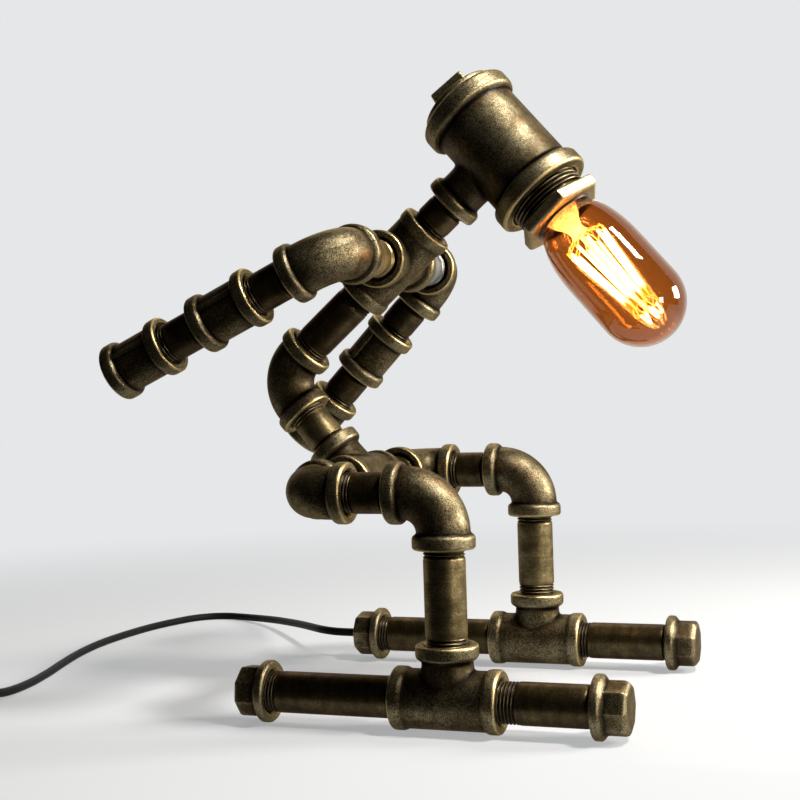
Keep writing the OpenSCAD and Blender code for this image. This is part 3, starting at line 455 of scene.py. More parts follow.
def cast(piece, grit=0.6, rounds=4):  # overlapping solids become one skin, softened like a sand casting
    modified(piece, "REMESH", mode="VOXEL", voxel_size=grit, use_smooth_shade=True)
    return modified(piece, "SMOOTH", factor=0.5, iterations=rounds)


def bored(piece, *cutters):
    for cutter in cutters:
        modified(piece, "BOOLEAN", operation="DIFFERENCE", object=cutter, solver="MANIFOLD")
        bpy.data.objects.remove(cutter)
    return piece


def turnBy(axis, degrees):
    return Matrix.Rotation(math.radians(degrees), 4, axis)


def moveBy(x, y, z):
    return Matrix.Translation((x, y, z))


def points(piece):
    found = np.empty(len(piece.data.vertices) * 3, np.float32)
    piece.data.vertices.foreach_get("co", found)
    return found.reshape(-1, 3).astype(float)


def putPoints(piece, found):
    piece.data.vertices.foreach_set("co", found.astype(np.float32).ravel())
    piece.data.update()


def noted(piece, name, values):
    kind = "FLOAT_VECTOR" if values.ndim == 2 else "FLOAT"
    attribute = piece.data.attributes.get(name) or piece.data.attributes.new(name, kind, "POINT")
    attribute.data.foreach_set("vector" if values.ndim == 2 else "value", values.astype(np.float32).ravel())


def readMark(piece, name):
    found = np.empty(len(piece.data.vertices), np.float32)
    piece.data.attributes[name].data.foreach_get("value", found)
    return found.astype(float)


def weathered(piece, seam=False):  # high edges are rubbed bright; hollows are darkened partly as grime and partly as painted shade
    mesh = piece.data
    count = len(mesh.vertices)
    edges = np.empty(len(mesh.edges) * 2, np.int32)
    mesh.edges.foreach_get("vertices", edges)
    a, b = edges.reshape(-1, 2).T
    share = np.maximum(np.bincount(a, minlength=count) + np.bincount(b, minlength=count), 1)

    def averaged(values):
        columns = values.reshape(count, -1).T
        summed = [np.bincount(a, column[b], count) + np.bincount(b, column[a], count) for column in columns]
        return (np.array(summed).T / share[:, None]).reshape(values.shape)

    normals = np.empty(count * 3, np.float32)
    mesh.vertices.foreach_get("normal", normals)
    normals = normals.reshape(-1, 3)
    start = points(piece)
    soft = start
    bulges = []
    for rounds in (5, 55):
        for _ in range(rounds):
            soft = averaged(soft)
        bulges.append(((start - soft) * normals).sum(1))
    near = averaged(averaged(bulges[0]))
    noted(piece, "rub", np.clip(near / 0.16, 0, 1))
    noted(piece, "soot", np.clip(-near / 0.14, 0, 1))
    noted(piece, "broad", np.clip(0.5 + averaged(bulges[1]) / 1.6, 0, 1))
    noted(piece, "seam", np.clip(1 - np.abs(start[:, 1]) / 0.3, 0, 1) * seam)
    noted(piece, "lie", start)
    return piece


def seamed(piece, lift=0.12):  # mould line: three cuts along y = 0 and the middle one raised
    pick(piece)
    for place in (-0.32, 0.32, 0.0):
        bpy.ops.object.mode_set(mode="EDIT")
        bpy.ops.mesh.select_all(action="SELECT")
        bpy.ops.mesh.bisect(plane_co=(0, place, 0), plane_no=(0, 1, 0))
        bpy.ops.object.mode_set(mode="OBJECT")
    start = points(piece)
    normals = np.empty(len(start) * 3, np.float32)
    piece.data.vertices.foreach_get("normal", normals)
    line = np.abs(start[:, 1]) < 0.01
    start[line] += normals.reshape(-1, 3)[line] * lift
    putPoints(piece, start)
    return piece


def shaded(piece, degrees=42):
    pick(piece)
    bpy.ops.object.shade_smooth_by_angle(angle=math.radians(degrees), keep_sharp_edges=False)
    return piece


millimetres = Matrix.Scale(0.001, 4)
made = []


def placed(piece, node, matrix, finish, slotName, shift=True):  # shift gives each piece its own grain
    if shift and "lie" in piece.data.attributes:
        old = np.empty(len(piece.data.vertices) * 3, np.float32)
        piece.data.attributes["lie"].data.foreach_get("vector", old)
        noted(piece, "lie", old.reshape(-1, 3) + (0, 0, len(made) * 37.0))
    moved(piece, millimetres @ matrix)
    words = node.split("_")
    piece.name = words[0] + "".join(word.capitalize() for word in words[1:])
    piece.data.materials.clear()
    piece.data.materials.append(finishes[finish])
    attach(piece, frame["nodes"][node]["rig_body"])
    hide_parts(node)
    made.append(piece)
    return piece


# The figure's joints, from the fittings' reach and the pipe that shows between them

figure = {"reach": 28.0, "heelShow": {-1: 68.0, 1: 72.0}, "toeShow": {-1: 46.0, 1: 51.0}, "shinShow": 47.2,
          "thighShow": 21.6, "hipShow": 29.8, "tilt": 49.4, "waistShow": 22.0, "trunkShow": 42.4,
          "neckShow": 16.8, "headReach": 42.5, "headTurn": 3.6, "shoulderShow": 29.8, "armShow": 20.6,
          "armDrop": {-1: 24.2, 1: 45.8}, "coupling": 36.4, "midX": -39.3404, "ground": 16.0}
reach, tilt = figure["reach"], figure["tilt"]


def slanted(degrees, length):
    return Vector((math.sin(math.radians(degrees)), 0, math.cos(math.radians(degrees)))) * length


legY = 2 * reach + figure["hipShow"]
kneeZ = figure["ground"] + 2 * reach + figure["shinShow"]
hipX = -2 * reach - figure["thighShow"]
origin = Vector((-figure["midX"], 0, 0))
pelvis = origin + Vector((hipX, 0, kneeZ))
backAt = pelvis + slanted(tilt - 90, 2 * reach + figure["waistShow"])
chest = backAt + slanted(tilt, 2 * reach + figure["trunkShow"])
headAt = chest + slanted(tilt, reach + figure["neckShow"] + figure["headReach"])
shoulderY = 2 * reach + figure["shoulderShow"]


def footPlace(side):
    return Matrix.Translation(origin + Vector((0, side * legY, figure["ground"])))


def kneePlace(side):
    return Matrix.Translation(origin + Vector((0, side * legY, kneeZ)))


def hipPlace(side):
    return Matrix.Translation(origin + Vector((hipX, side * legY, kneeZ)))


def armPlace(side, along=0.0):
    drop = figure["armDrop"][side]
    shoulder = chest + Vector((0, side * shoulderY, 0))
    return Matrix.Translation(shoulder) @ turnBy("Y", -90 - drop) @ moveBy(0, 0, along)


pelvisPlace = Matrix.Translation(pelvis) @ turnBy("Y", tilt - 90)
backPlace = Matrix.Translation(backAt) @ turnBy("Y", tilt)
chestPlace = Matrix.Translation(chest) @ turnBy("Y", tilt)
headPlace = Matrix.Translation(headAt) @ turnBy("Y", tilt + 90) @ turnBy("X", figure["headTurn"])
sides = {-1: "right", 1: "left"}


# Half-inch fittings

fitting = {"band": 16.0, "bandWide": 6.5, "edge": 0.9, "flare": 0.6, "mouth": 12.7, "mouthDeep": 3.2,
           "bore": 10.5, "boreDeep": 14.5, "way": 9.3, "wayLong": reach - 10, "elbow": 13.7, "run": 15.0,
           "neck": 13.0, "root": 14.0, "rootHigh": 4, "grit": 0.62}
elbowBend = reach - fitting["bandWide"] - (fitting["band"] - fitting["elbow"]) * fitting["flare"] - 0.2


def bandSteps(face, body, sizes=fitting):  # out of the body, over the band and in to the axis at the face
    band, wide, edge = sizes["band"], sizes["bandWide"], sizes["edge"]
    return [(body, face - wide - (band - body) * fitting["flare"]),
            (band - edge * 0.5, face - wide - edge * 0.3), (band, face - wide + edge), (band, face - edge),
            (band - edge, face), (core, face)]


def mirrored(steps, *middle):  # the same steps on both sides of the middle
    return [(radius, -z) for radius, z in reversed(steps)] + list(middle) + steps


def mouthCutter(face):  # flared mouth, then the bore, out past the face
    bore, mouth, deep = fitting["bore"], fitting["mouth"], face - fitting["boreDeep"]
    return turned("mouthCutter", [(core, deep), (bore, deep), (bore, face - fitting["mouthDeep"]),
                                  (mouth - 0.5, face - 1.0), (mouth, face - 0.3), (mouth + 0.4, face + 0.6),
                                  (mouth + 0.4, face + 3), (core, face + 3)])


def opened(piece, directions):  # bores a way and a mouth in each direction
    for degrees in directions:
        bored(piece, moved(rod("wayCutter", fitting["way"], 0, fitting["wayLong"], 40), turnBy("Y", degrees)),
              moved(mouthCutter(reach), turnBy("Y", degrees)))
    return piece


def spun(name, radius, bend, length, sides=48):  # pipe down from z, a quarter turn, and out along +X
    pick(bpy.context.scene.camera)
    bpy.ops.mesh.primitive_circle_add(vertices=sides, radius=radius, location=(0, 0, length))
    piece = bpy.context.object
    piece.name = name
    bpy.ops.object.mode_set(mode="EDIT")
    if length > bend:
        bpy.ops.mesh.extrude_region_move(TRANSFORM_OT_translate={"value": (0, 0, bend - length)})
    bpy.ops.mesh.spin(steps=20, angle=math.pi / 2, center=(bend, 0, bend), axis=(0, 1, 0))
    if length > bend:
        bpy.ops.mesh.extrude_region_move(TRANSFORM_OT_translate={"value": (length - bend, 0, 0)})
    closeUp()
    return settled(piece)


def makeElbow():
    radius, quarter = fitting["elbow"], turnBy("Y", 90)
    first = turned("elbowMouth", [(core, elbowBend), (radius, elbowBend)] + bandSteps(reach, radius))
    body = spun("elbowBody", radius, elbowBend, reach - 3)
    second = copied(first, "elbowMouthTwo", quarter)
    elbow = seamed(cast(joined("elbowPattern", body, first, second), fitting["grit"]))
    way = spun("wayCutter", fitting["way"], elbowBend, elbowBend, 40)
    cutter = mouthCutter(reach)
    across = copied(cutter, "mouthCutterTwo", quarter)
    return shaded(weathered(bored(elbow, way, cutter, across), True))


def rootSteps(neck, sweep, run, rise):  # swept root of a branch, wide along the run only
    drop = math.asin((rise - run * 0.53) / sweep)
    steps = []
    for i in range(7):
        part = drop * (1 - i / 6)
        steps.append((neck + sweep * (1 - math.cos(part)), rise - sweep * math.sin(part)))
    return steps


def makeRun():
    radius = fitting["run"]
    return turned("run", mirrored(bandSteps(reach, radius), (radius, 0)))


def makeBranch():  # oval at its root, because the sweep goes along the run only
    neck, run = fitting["neck"], fitting["run"]
    root = rootSteps(neck, fitting["root"], run, run + fitting["rootHigh"])
    steps = [(core, core, 0), (root[0][0], neck - 0.2, 0)] + [(wide, neck - 0.2, z) for wide, z in root]
    return turned("branch", steps + [(radius, radius, z) for radius, z in bandSteps(reach, neck)])


def makeTee():
    run = moved(makeRun(), turnBy("Y", 90))
    tee = seamed(cast(joined("teePattern", run, makeBranch()), fitting["grit"], 5))
    return shaded(weathered(opened(tee, (-90, 0, 90)), True))


def makeCross():
    parts = [makeRun()] + [moved(makeBranch(), turnBy("Y", degrees)) for degrees in (-90, 90)]
    cross = seamed(cast(joined("crossPattern", *parts), fitting["grit"], 5))
    return shaded(weathered(opened(cross, (-90, 0, 90, 180)), True))


coupling = {"length": figure["coupling"], "body": 13.5, "ribWide": 3.0, "ribHigh": 1.2, "ribDeep": 4.0,
            "ribTurn": -66.0, "relief": 10.9, "reliefIn": 10}


def makeCoupling():
    half, body = coupling["length"] / 2, coupling["body"]
    parts = [turned("couplingRun", mirrored(bandSteps(half, body), (body, 0)))]
    for side in (0, 180):
        rib = boxed("rib", (coupling["ribDeep"], coupling["ribWide"], coupling["length"] - 8),
                    (body + coupling["ribHigh"] - coupling["ribDeep"] / 2, 0, 0), 0.5)
        parts.append(moved(rib, turnBy("Z", coupling["ribTurn"] + side)))
    piece = moved(cast(joined("couplingPattern", *parts), fitting["grit"], 3), moveBy(0, 0, half))
    top = moved(mouthCutter(half), moveBy(0, 0, half))
    bottom = moved(mouthCutter(half), moveBy(0, 0, half) @ turnBy("Y", 180))
    ends = coupling["reliefIn"], 2 * half - coupling["reliefIn"]
    return shaded(weathered(bored(piece, top, bottom, rod("reliefCutter", coupling["relief"], *ends, 48))))


cap = {"length": 17.6, "band": 5.0, "edge": 0.9, "foot": (13.3, 6.2), "hub": (12.0, 7.2), "flats": 25.0,
       "bevel": 2.2, "sides": 8, "wall": 3.8, "mouth": 12.4, "throat": (11.2, 1.6), "cordHole": 4.05}


def makeCap(hole=0.0):
    length, bevel, edge, outer = cap["length"], cap["bevel"], cap["edge"], fitting["band"]
    shell = turned("capBand", [(core, 0), (outer - edge, 0), (outer, edge), (outer, cap["band"] - edge),
                               (outer - edge, cap["band"]), cap["foot"], cap["hub"], (core, cap["hub"][1])])
    corner = cap["flats"] / 2 / math.cos(math.pi / cap["sides"])
    end = turned("capEnd", [(core, 1), (corner, 1), (corner, length - bevel), (corner - 0.5, length - 1.0),
                            (corner - bevel, length), (core, length)], cap["sides"])
    piece = cast(joined("capPattern", shell, end), 0.5, 3)
    deep = length - cap["wall"]
    bored(piece, turned("capCutter", [(core, -2), (cap["mouth"], -2), (cap["mouth"], -0.05), cap["throat"],
                                      (fitting["bore"], 2.0), (fitting["bore"], deep), (core, deep)]))
    if hole:
        bored(piece, rod("holeCutter", hole, 5, 20, 48))
    return shaded(weathered(piece))


patterns = {"elbow": makeElbow(), "tee": makeTee(), "cross": makeCross(), "coupling": makeCoupling(),
            "cap": makeCap(), "exitCap": makeCap(cap["cordHole"])}
print("fittings cast", {name: len(piece.data.polygons) for name, piece in patterns.items()})


def useCasting(pattern, node, matrix):
    placed(copied(patterns[pattern], node), node, matrix, "casting", "bronzed_iron")


capSpin = {-1: (28.8, 0.0), 1: (10.0, 22.5)}  # heel and toe
firstAt = reach + figure["armShow"]
secondAt = firstAt + figure["coupling"] + figure["armShow"]
for side, word in sides.items():
    useCasting("tee", word + "_foot_tee", footPlace(side))
    useCasting("elbow", word + "_knee_elbow", kneePlace(side) @ turnBy("Y", 180))
    useCasting("elbow", word + "_hip_elbow", hipPlace(side) @ turnBy("Y", 90) @ turnBy("Z", -side * 90))
    useCasting("elbow", word + "_shoulder_elbow", armPlace(side) @ turnBy("Z", -side * 90))
    useCasting("coupling", word + "_arm_coupling", armPlace(side, firstAt))
    useCasting("coupling", word + "_hand_coupling", armPlace(side, secondAt))
    heelAt = turnBy("Y", -90) @ moveBy(0, 0, reach + figure["heelShow"][side]) @ turnBy("Z", capSpin[side][0])
    toeAt = turnBy("Y", 90) @ moveBy(0, 0, reach + figure["toeShow"][side]) @ turnBy("Z", capSpin[side][1])
    useCasting("cap" if side < 0 else "exitCap", word + "_heel_cap", footPlace(side) @ heelAt)
    useCasting("cap", word + "_toe_cap", footPlace(side) @ toeAt)
useCasting("tee", "pelvis_tee", pelvisPlace @ turnBy("Z", 90))
useCasting("elbow", "back_elbow", backPlace)
useCasting("cross", "chest_cross", chestPlace @ turnBy("Z", 90))
print("fittings placed")


# Pipe nipples with their screw thread cut at both ends

nipple = {"pipe": 10.65, "bore": 7.9, "threadIn": 13.5, "pitch": 1.814, "depth": 0.8, "step": 0.26,
          "fade": 1.6, "crest": 0.12}


def grooves(spots, pitch):  # a screw thread's share of depth at each point, 0 on its crest and 1 in its root
    angle = np.arctan2(spots[:, 1], spots[:, 0]) / (2 * math.pi)
    tooth = np.abs(((spots[:, 2] / pitch + angle) % 1) * 2 - 1)
    return np.clip(tooth * 1.35 - 0.12, 0, 1)


def makeNipple(show, startThread, endThread):
    inside, bore, step = nipple["threadIn"], nipple["bore"], nipple["step"]
    rings = [-inside, -inside / 2, -1.6, *np.arange(-1.3, startThread + 1.2, step),
             *np.linspace(startThread + 2, show - endThread - 2, max(2, int(show / 5))),
             *np.arange(show - endThread - 1.0, show + 1.4, step), show + 1.7, show + inside / 2,
             show + inside]
    profile = [(bore, -inside)] + [(nipple["pipe"], z) for z in rings] + [(bore, show + inside)]
    piece = turned("nipplePattern", profile, 72, True)
    start = points(piece)
    radius = np.hypot(start[:, 0], start[:, 1])
    z = start[:, 2]
    past = np.where(z < show / 2, z - startThread, show - endThread - z)
    fade = np.clip(1 - past / nipple["fade"], 0, 1)
    groove = grooves(start, nipple["pitch"])
    outer = radius > bore + 1
    target = nipple["pipe"] - nipple["crest"] * fade - nipple["depth"] * fade * groove
    start[:, :2] *= np.where(outer, target / radius, 1)[:, None]
    putPoints(piece, start)
    noted(piece, "lie", start)
    noted(piece, "rub", fade * (1 - groove) * outer * 0.45)
    # thread roots and the whole bore are marked dark: partly grime, partly painted shade
    noted(piece, "soot", np.where(outer, fade * groove, 1.0))
    return shaded(piece, 60)


def nippleAt(node, matrix, show, startThread=2.4, endThread=2.4, finish="pipe", slotName="dark_pipe"):
    placed(makeNipple(show, startThread, endThread), node, matrix @ moveBy(0, 0, reach), finish, slotName)


toeThread = {-1: 8.0, 1: 4.0}
shinThread = {-1: 2.6, 1: 5.0}
shoulderLook = {-1: ("goldPipe", "golden_pipe"), 1: ("barePipe", "bare_pipe")}
for side, word in sides.items():
    foot, elbowAt = footPlace(side), figure["armShow"] + figure["coupling"]
    nippleAt(word + "_heel_nipple", foot @ turnBy("Y", -90), figure["heelShow"][side], 1.2, 4.0)
    nippleAt(word + "_toe_nipple", foot @ turnBy("Y", 90), figure["toeShow"][side], toeThread[side], 1.2)
    # the shins take the brighter pipe finish, partly wear and partly painted light
    nippleAt(word + "_shin_nipple", foot, figure["shinShow"], shinThread[side], 3.4, "wornPaintedLitPipe")
    nippleAt(word + "_thigh_nipple", kneePlace(side) @ turnBy("Y", -90), figure["thighShow"])
    nippleAt(word + "_hip_nipple", hipPlace(side) @ turnBy("X", side * 90), figure["hipShow"])
    nippleAt(word + "_shoulder_nipple", chestPlace @ turnBy("X", -side * 90), figure["shoulderShow"],
             3.0, 3.0, *shoulderLook[side])
    nippleAt(word + "_upper_arm_nipple", armPlace(side), figure["armShow"])
    nippleAt(word + "_forearm_nipple", armPlace(side, elbowAt), figure["armShow"])
# the waist takes the brighter pipe finish too, partly wear and partly painted light
nippleAt("waist_nipple", pelvisPlace, figure["waistShow"], finish="wornPaintedLitPipe")
nippleAt("trunk_nipple", backPlace, figure["trunkShow"], 3.0, 5.0)
nippleAt("neck_nipple", chestPlace, figure["neckShow"])
print("pipes threaded")


# Head: a reducing tee with its plug and the golden bushing

head = {"length": 71.0, "reach": figure["headReach"], "band": 28.2, "bandWide": 9.0, "body": 24.6,
        "edge": 1.25, "root": 26.0, "rootWide": 1.19, "thread": 21.0, "threadIn": 12.0, "mouth": 22.2,
        "bore": 21.05, "boreDeep": 15.0, "way": 19.3, "neckWay": 32}
face = head["length"] / 2


def makeHead():
    body, mouth, bore, way, neck = head["body"], head["mouth"], head["bore"], head["way"], fitting["neck"]
    across = turnBy("Y", 90)
    run = turned("headRun", mirrored(bandSteps(face, body, head), (body, 0)), 96)
    root = rootSteps(neck, head["root"], body * head["rootWide"], body + fitting["rootHigh"])
    branch = turned("headBranch", [(core, 0), (root[0][0], 0)] + root + bandSteps(head["reach"], neck))
    piece = seamed(cast(joined("headPattern", run, moved(branch, across)), 0.75, 5))
    deep = face - head["boreDeep"]
    cutter = turned("headCutter", mirrored([(way, deep), (bore, deep), (bore, face - 1.5), (mouth, face),
                                            (mouth, face + 2), (core, face + 2)]), 96)
    bored(piece, cutter, moved(rod("wayCutter", fitting["way"], 0, head["neckWay"], 40), across),
          moved(mouthCutter(head["reach"]), across))
    return shaded(weathered(piece, True))


placed(makeHead(), "head_tee", headPlace, "casting", "bronzed_iron")

plug = {"show": 1.6, "rim": 23.0, "shoulder": 2.8, "square": 21.0, "squareHigh": 9.5, "squareTurn": 12}


def makePlug():
    thread, rim, shoulder, square = head["thread"], plug["rim"], plug["shoulder"], plug["square"]
    disc = turned("plugDisc", [(core, -1), (rim - 0.6, -1), (rim, 0), (rim, shoulder - 0.5),
                               (rim - 0.5, shoulder), (core, shoulder)], 96)
    top = boxed("plugSquare", (square, square, plug["squareHigh"] + 1),
                (0, 0, shoulder + plug["squareHigh"] / 2 - 0.5), 1.0)
    piece = cast(joined("plugPattern", disc, moved(top, turnBy("Z", plug["squareTurn"]))))
    bore, low, high = thread - 5, -head["threadIn"] - plug["show"], -0.8
    stem = turned("plugStem", [(bore, low), (thread, low), (thread, high), (bore, high)], 64, True)
    return shaded(weathered(joined("plugPattern", piece, stem)))


placed(makePlug(), "crown_plug", headPlace @ turnBy("X", 180) @ moveBy(0, 0, face + plug["show"]), "casting",
       "bronzed_iron")

bushing = {"show": 9.2, "thick": 6.8, "flats": 46.0, "turn": 39, "bore": 16.75, "ring": (17.4, 20.5),
           "pitch": 2.309, "depth": 1.25, "step": 0.3}


def makeBushing():
    back = face + bushing["show"]
    front = back + bushing["thick"]
    thread, bore, low = head["thread"], bushing["bore"], face - head["threadIn"]
    inner, outer = bushing["ring"]
    corner = bushing["flats"] / 2 / math.cos(math.radians(30))
    nut = turned("bushingHex", [(inner, back - 0.01), (corner - 1.0, back), (corner, back + 0.8),
                                (corner, front - 2.0), (corner - 0.8, front - 1.0), (corner - 2.6, front),
                                (inner, front)], 6, True)
    moved(nut, turnBy("Z", bushing["turn"]))
    nut = cast(joined("bushingHex", nut, rod("bushingCore", outer, back, front)), 0.55, 3)
    bored(nut, rod("bushingCutter", bore, back - 2, front + 2))
    rings = [low, *np.arange(face - 2, back + 0.3, bushing["step"])]
    profile = [(bore + 0.01, low)] + [(thread, z) for z in rings] + [(bore + 0.01, back + 0.3)]
    screw = turned("bushingThread", profile, 96, True)
    start = points(screw)
    radius, z = np.hypot(start[:, 0], start[:, 1]), start[:, 2]
    cutAway = (z > face - 2.5) & (z < back - 0.6) & (radius > thread - 2)
    depth = bushing["depth"] * grooves(start, bushing["pitch"]) * cutAway
    start[:, :2] *= ((radius - depth) / radius)[:, None]
    putPoints(screw, start)
    piece = weathered(joined("bushingPattern", nut, screw))
    start = points(piece)
    threaded = start[:, 2] < back - 0.1
    # the thread is darkened all over, partly its own dark colour and partly painted shade, and its crests are
    # left lighter, partly wear and partly a painted highlight
    crest = np.clip((np.hypot(start[:, 0], start[:, 1]) - thread + 0.5) / 0.5, 0, 1)
    noted(piece, "rub", np.where(threaded, 0, readMark(piece, "rub")))
    noted(piece, "soot", np.where(threaded, 0.85 - 0.5 * crest, readMark(piece, "soot")))
    return shaded(piece)


placed(makeBushing(), "head_bushing", headPlace, "bushing", "golden_fitting")
print("head assembled")


# Lampholder, bulb and its glowing cage

holder = {"radius": 16.6, "rim": 17.5, "lip": (15.2, 15.9, 17.1), "back": 20.5, "floor": 23.5, "face": 52.5,
          "shell": 14.05, "boss": 5.5, "bossLong": 8, "leadHole": 2.6}


def makeHolder():
    front, back, rim = holder["face"], holder["back"], holder["rim"]
    inner, middle, outer = holder["lip"]
    profile = [(holder["shell"], holder["floor"]), (holder["shell"], front - 2), (inner, front - 0.6),
               (middle, front), (outer, front), (rim, front - 0.4), (rim, front - 0.95),
               (holder["radius"], front - 1.0), (holder["radius"], back), (holder["boss"], back),
               (holder["boss"], back - holder["bossLong"]), (holder["leadHole"], back - holder["bossLong"]),
               (holder["leadHole"], holder["floor"])]
    return shaded(turned("holderPattern", profile, 96, True), 35)


placed(makeHolder(), "lampholder", headPlace, "holder", "black_bakelite")

bulb = {"radius": 24.0, "neck": 12.35, "glass": 1.0, "neckAt": 34.7, "shoulderAt": 51.5, "shoulderLong": 34.0,
        "tip": 138.0, "stemTop": 65.5, "rodEnd": 119.0, "cageTop": 71.5, "cageEnd": 115.0, "wide": 11.5,
        "narrow": 6.2, "legs": 10, "legThick": 1.7, "loops": 5, "loopThick": 1.0, "hookThick": 0.7,
        "endHookThick": 0.6}


def bulbSteps(inset):  # from the neck over the shoulder and round to the tip
    neck, radius = bulb["neck"] - inset, bulb["radius"] - inset
    steps = [(neck, bulb["neckAt"]), (neck, bulb["shoulderAt"])]
    for i in range(1, 17):
        angle = math.radians(i * 90 / 16)
        steps.append((neck + (bulb["radius"] - bulb["neck"]) * math.sin(angle),
                      bulb["shoulderAt"] + bulb["shoulderLong"] * (1 - math.cos(angle))))
    for i in range(24):
        angle = math.radians(i * 90 / 24)
        steps.append((radius * math.cos(angle), bulb["tip"] - bulb["radius"] + radius * math.sin(angle)))
    return steps + [(0.05, bulb["tip"] - inset)]


glass = turned("glassPattern", list(reversed(bulbSteps(0))) + bulbSteps(bulb["glass"]), 96)
placed(shaded(glass, 80), "bulb_glass", headPlace, "amber", "amber_glass")


def makeStem():
    low, top, end = bulb["neckAt"], bulb["stemTop"], bulb["rodEnd"]
    profile = [(0.3, low + 1), (11.2, low + 1), (11.2, low + 9), (10.2, low + 14), (8.0, low + 19),
               (5.4, low + 23), (4.3, low + 26), (4.2, top - 2.4), (5.2, top - 1), (3.0, top),
               (1.3, top + 0.6), (1.3, end - 1), (1.9, end), (0.3, end + 1)]
    piece = turned("stemPattern", profile, 48)
    noted(piece, "lie", points(piece) - (0, 0, low))
    return shaded(piece, 60)


placed(makeStem(), "bulb_stem", headPlace, "clear", "clear_glass", False)


def wire(name, steps, angle, thick):  # through points of a radius, a height and a turn from the wire's angle
    route = []
    for radius, z, turn in steps:
        around = math.radians(angle + turn)
        route.append((radius * math.cos(around), radius * math.sin(around), z))
    pick(addLine(name, smoothRoute(route, 5), thick, 2))
    bpy.ops.object.convert(target="MESH")
    return bpy.context.object


def makeFilament():
    wide, narrow, top, end = (bulb[name] for name in ("wide", "narrow", "cageTop", "cageEnd"))
    leg = [(wide, top, 0), ((wide + narrow) / 2, (top + end) / 2, 0), (narrow, end, 0)]
    loop = [(2.4, end + 5, 0), (3.4, end + 9.5, 4), (5.0, end + 10.5, 12), (5.6, end + 5, 16)]
    parts = [wire("leg", leg, 360 * i / bulb["legs"], bulb["legThick"]) for i in range(bulb["legs"])]
    parts += [wire("loop", loop, 72 * i + 20, bulb["loopThick"]) for i in range(bulb["loops"])]
    filament = shaded(joined("filamentPattern", *parts), 60)
    noted(filament, "lie", points(filament) - (0, 0, end))
    return filament


def makeSupports():
    wide, narrow, top, end = (bulb[name] for name in ("wide", "narrow", "cageTop", "cageEnd"))
    step = 360 / bulb["legs"]
    hook = [(3.0, bulb["stemTop"] - 1.5, step / 2), (wide * 0.7, top - 4.5, step / 4),
            (wide + 0.6, top - 2.2, 0), (wide, top + 0.5, 0)]
    loop = [(wide, top, 0), (wide + 0.7, top - 3.0, step / 2), (wide, top, step)]
    endHook = [(narrow, end - 0.5, 0), (narrow + 1.6, end + 3.5, 2), (narrow * 0.6, end + 5.5, 6),
               (1.2, end + 3.5, 10)]
    parts = []
    for i in range(bulb["legs"]):
        parts.append(wire("topHook", hook, step * i, bulb["hookThick"]))
        parts.append(wire("topLoop", loop, step * i, bulb["hookThick"]))
        parts.append(wire("endHook", endHook, step * i, bulb["endHookThick"]))
    return shaded(joined("supportPattern", *parts), 60)


placed(makeFilament(), "bulb_filament", headPlace, "glow", "glowing_filament", False)
# the support wires carry a painted glow
supports = placed(makeSupports(), "bulb_filament", headPlace, "ember", "glowing_filament")
supports.name = "filamentSupports"
print("bulb lit")


# Solids whose shape is right keep their place and take a finish

kept = {"brass": ("screw_shell", "centre_contact", "bulb_cap", "plug_pins"),
        "rubber": ("leg_lead", "trunk_lead", "head_lead", "cord_grommet", "coil_tie"),
        "plastic": ("switch_base", "switch_cover", "switch_rocker", "power_plug")}
for finish, nodes in kept.items():
    for node in nodes:
        solid = frame["nodes"][node]
        solid.data.materials.clear()
        solid.data.materials.append(finishes[finish])

for pattern in patterns.values():
    bpy.data.objects.remove(pattern)

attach(powerCord, "base")
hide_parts("power_cord", "cord_coil")
[value / 1000 for value in cordShape["exit"]]
[frame["nodes"][node] for node in (*kept["plastic"], "plug_pins", "coil_tie")]
print("cord laid")


# Studio: pale floor and surround, a key from above, a lamp on the edges, a low strip and one behind

studio = {"pale": (0.79, 0.80, 0.81), "floor": (0.57, 0.58, 0.59), "dim": (0.9, 0.95, 1.0), "dimPower": 0.30,
          "floorNear": 0.35, "floorFar": 1.0, "hotSpot": (0.42, -0.15, 0), "lampAim": (-0.02, 0, 0.16)}


def addFloor():  # lit round the lamp, and of the surround's own paleness farther out
    pick(bpy.context.scene.camera)
    bpy.ops.mesh.primitive_grid_add(x_subdivisions=8, y_subdivisions=8, size=60)
    floor = bpy.context.object
    floor.name = "studioFloor"
    material, start = newMaterial("paleFloor")
    here = start.node("ShaderNodeTexCoord", {}, {}, 3)
    distance = here.node("ShaderNodeVectorMath", {"operation": "LENGTH"}, {0: here}, 1)
    lampSide = here.node("ShaderNodeVectorMath", {"operation": "DISTANCE"},
                         {0: here, 1: studio["hotSpot"]}, 1)
    far = rising(distance, studio["floorNear"], studio["floorFar"], 1.0, 0.0)
    share = 1 - rising(lampSide, 0.05, 0.55, 0.34, 0.58) * far
    lit = start.node("ShaderNodeBsdfDiffuse", {}, {"Color": (*studio["floor"], 1)})
    pale = start.node("ShaderNodeEmission", {}, {"Color": (*studio["pale"], 1)})
    mixed = start.node("ShaderNodeMixShader", {}, {0: share, 1: lit, 2: pale})
    start.node("ShaderNodeOutputMaterial", {}, {"Surface": mixed})
    floor.data.materials.append(material)


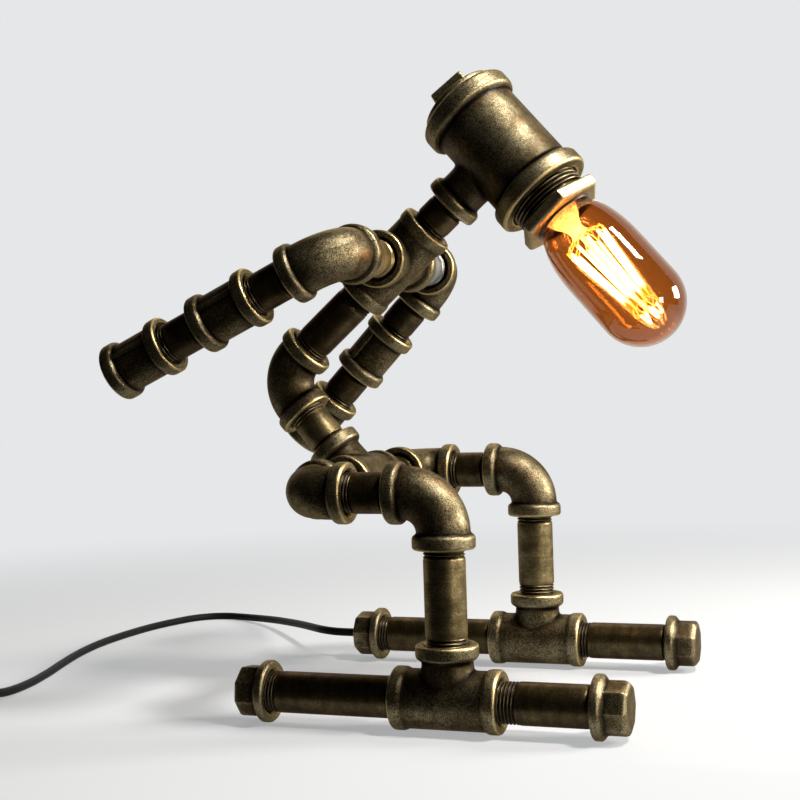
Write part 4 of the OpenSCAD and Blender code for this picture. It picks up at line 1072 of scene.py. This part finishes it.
def addWorld():
    world = bpy.data.worlds.new("studioAir")
    bpy.context.scene.world = world
    world.use_nodes = True
    world.node_tree.nodes.clear()
    start = Flow(world.node_tree)
    path = world.node_tree.nodes.new("ShaderNodeLightPath")
    seen = Flow(world.node_tree, path.outputs["Is Camera Ray"])
    for name in ("Is Glossy Ray", "Is Transmission Ray"):
        seen = seen.maths("MAXIMUM", seen, Flow(world.node_tree, path.outputs[name]))
    pale = start.node("ShaderNodeBackground", {}, {"Color": (*studio["pale"], 1), "Strength": 1.0})
    dim = start.node("ShaderNodeBackground", {}, {"Color": (*studio["dim"], 1),
                                                  "Strength": studio["dimPower"]})
    mixed = start.node("ShaderNodeMixShader", {}, {0: seen, 1: dim, 2: pale})
    start.node("ShaderNodeOutputWorld", {}, {"Surface": mixed})


lamps = {"key": {"place": (0.50, -0.10, 0.88), "size": 0.14, "power": 12.5, "colour": (1.0, 0.98, 0.94)},
         "edge": {"place": (0.95, 0.33, 0.42), "size": 0.3, "power": 17.0, "colour": (1.0, 0.96, 0.88)},
         "strip": {"place": (1.05, -0.50, 0.22), "size": 0.22, "power": 4.0, "colour": (1.0, 0.93, 0.80)},
         "rear": {"place": (-0.3, 0.9, 0.9), "size": 0.7, "power": 3.0, "colour": (1.0, 0.98, 0.95)}}


def addLamps():
    for name, looks in lamps.items():
        bpy.ops.object.light_add(type="AREA", location=looks["place"])
        lamp = bpy.context.object
        lamp.name = name + "Lamp"
        lamp.data.shape = "SQUARE"
        lamp.data.size = looks["size"]
        lamp.data.energy = looks["power"]
        lamp.data.color = looks["colour"]
        ahead = Vector(studio["lampAim"]) - Vector(looks["place"])
        lamp.rotation_euler = ahead.to_track_quat("-Z", "Y").to_euler()


cards = {"front": ((0, -1.7, 1.0), (4.0, 0.01, 2.4)), "left": ((-1.6, -0.5, 1.0), (0.01, 2.6, 2.4)),
         "right": ((1.7, -0.5, 1.0), (0.01, 2.6, 2.4)), "top": ((0, -0.4, 2.1), (3.4, 2.8, 0.01)),
         "low": ((0, -0.90, 0.004), (3.2, 1.56, 0.004))}


def addCards():  # dark cards that the camera doesn't see keep the metal's tones deep
    material, start = newMaterial("darkCard")
    surfaced(start, {"Color": (0.02, 0.02, 0.02, 1)}, "ShaderNodeBsdfDiffuse")
    for name, (middle, size) in cards.items():
        card = boxed(name + "Card", size, middle)
        card.data.materials.append(material)
        card.visible_camera = False
        card.visible_shadow = False


addFloor()
addCards()
addWorld()
addLamps()
bpy.context.scene.view_settings.view_transform = "Standard"
print("studio lit", len(made), "pieces")
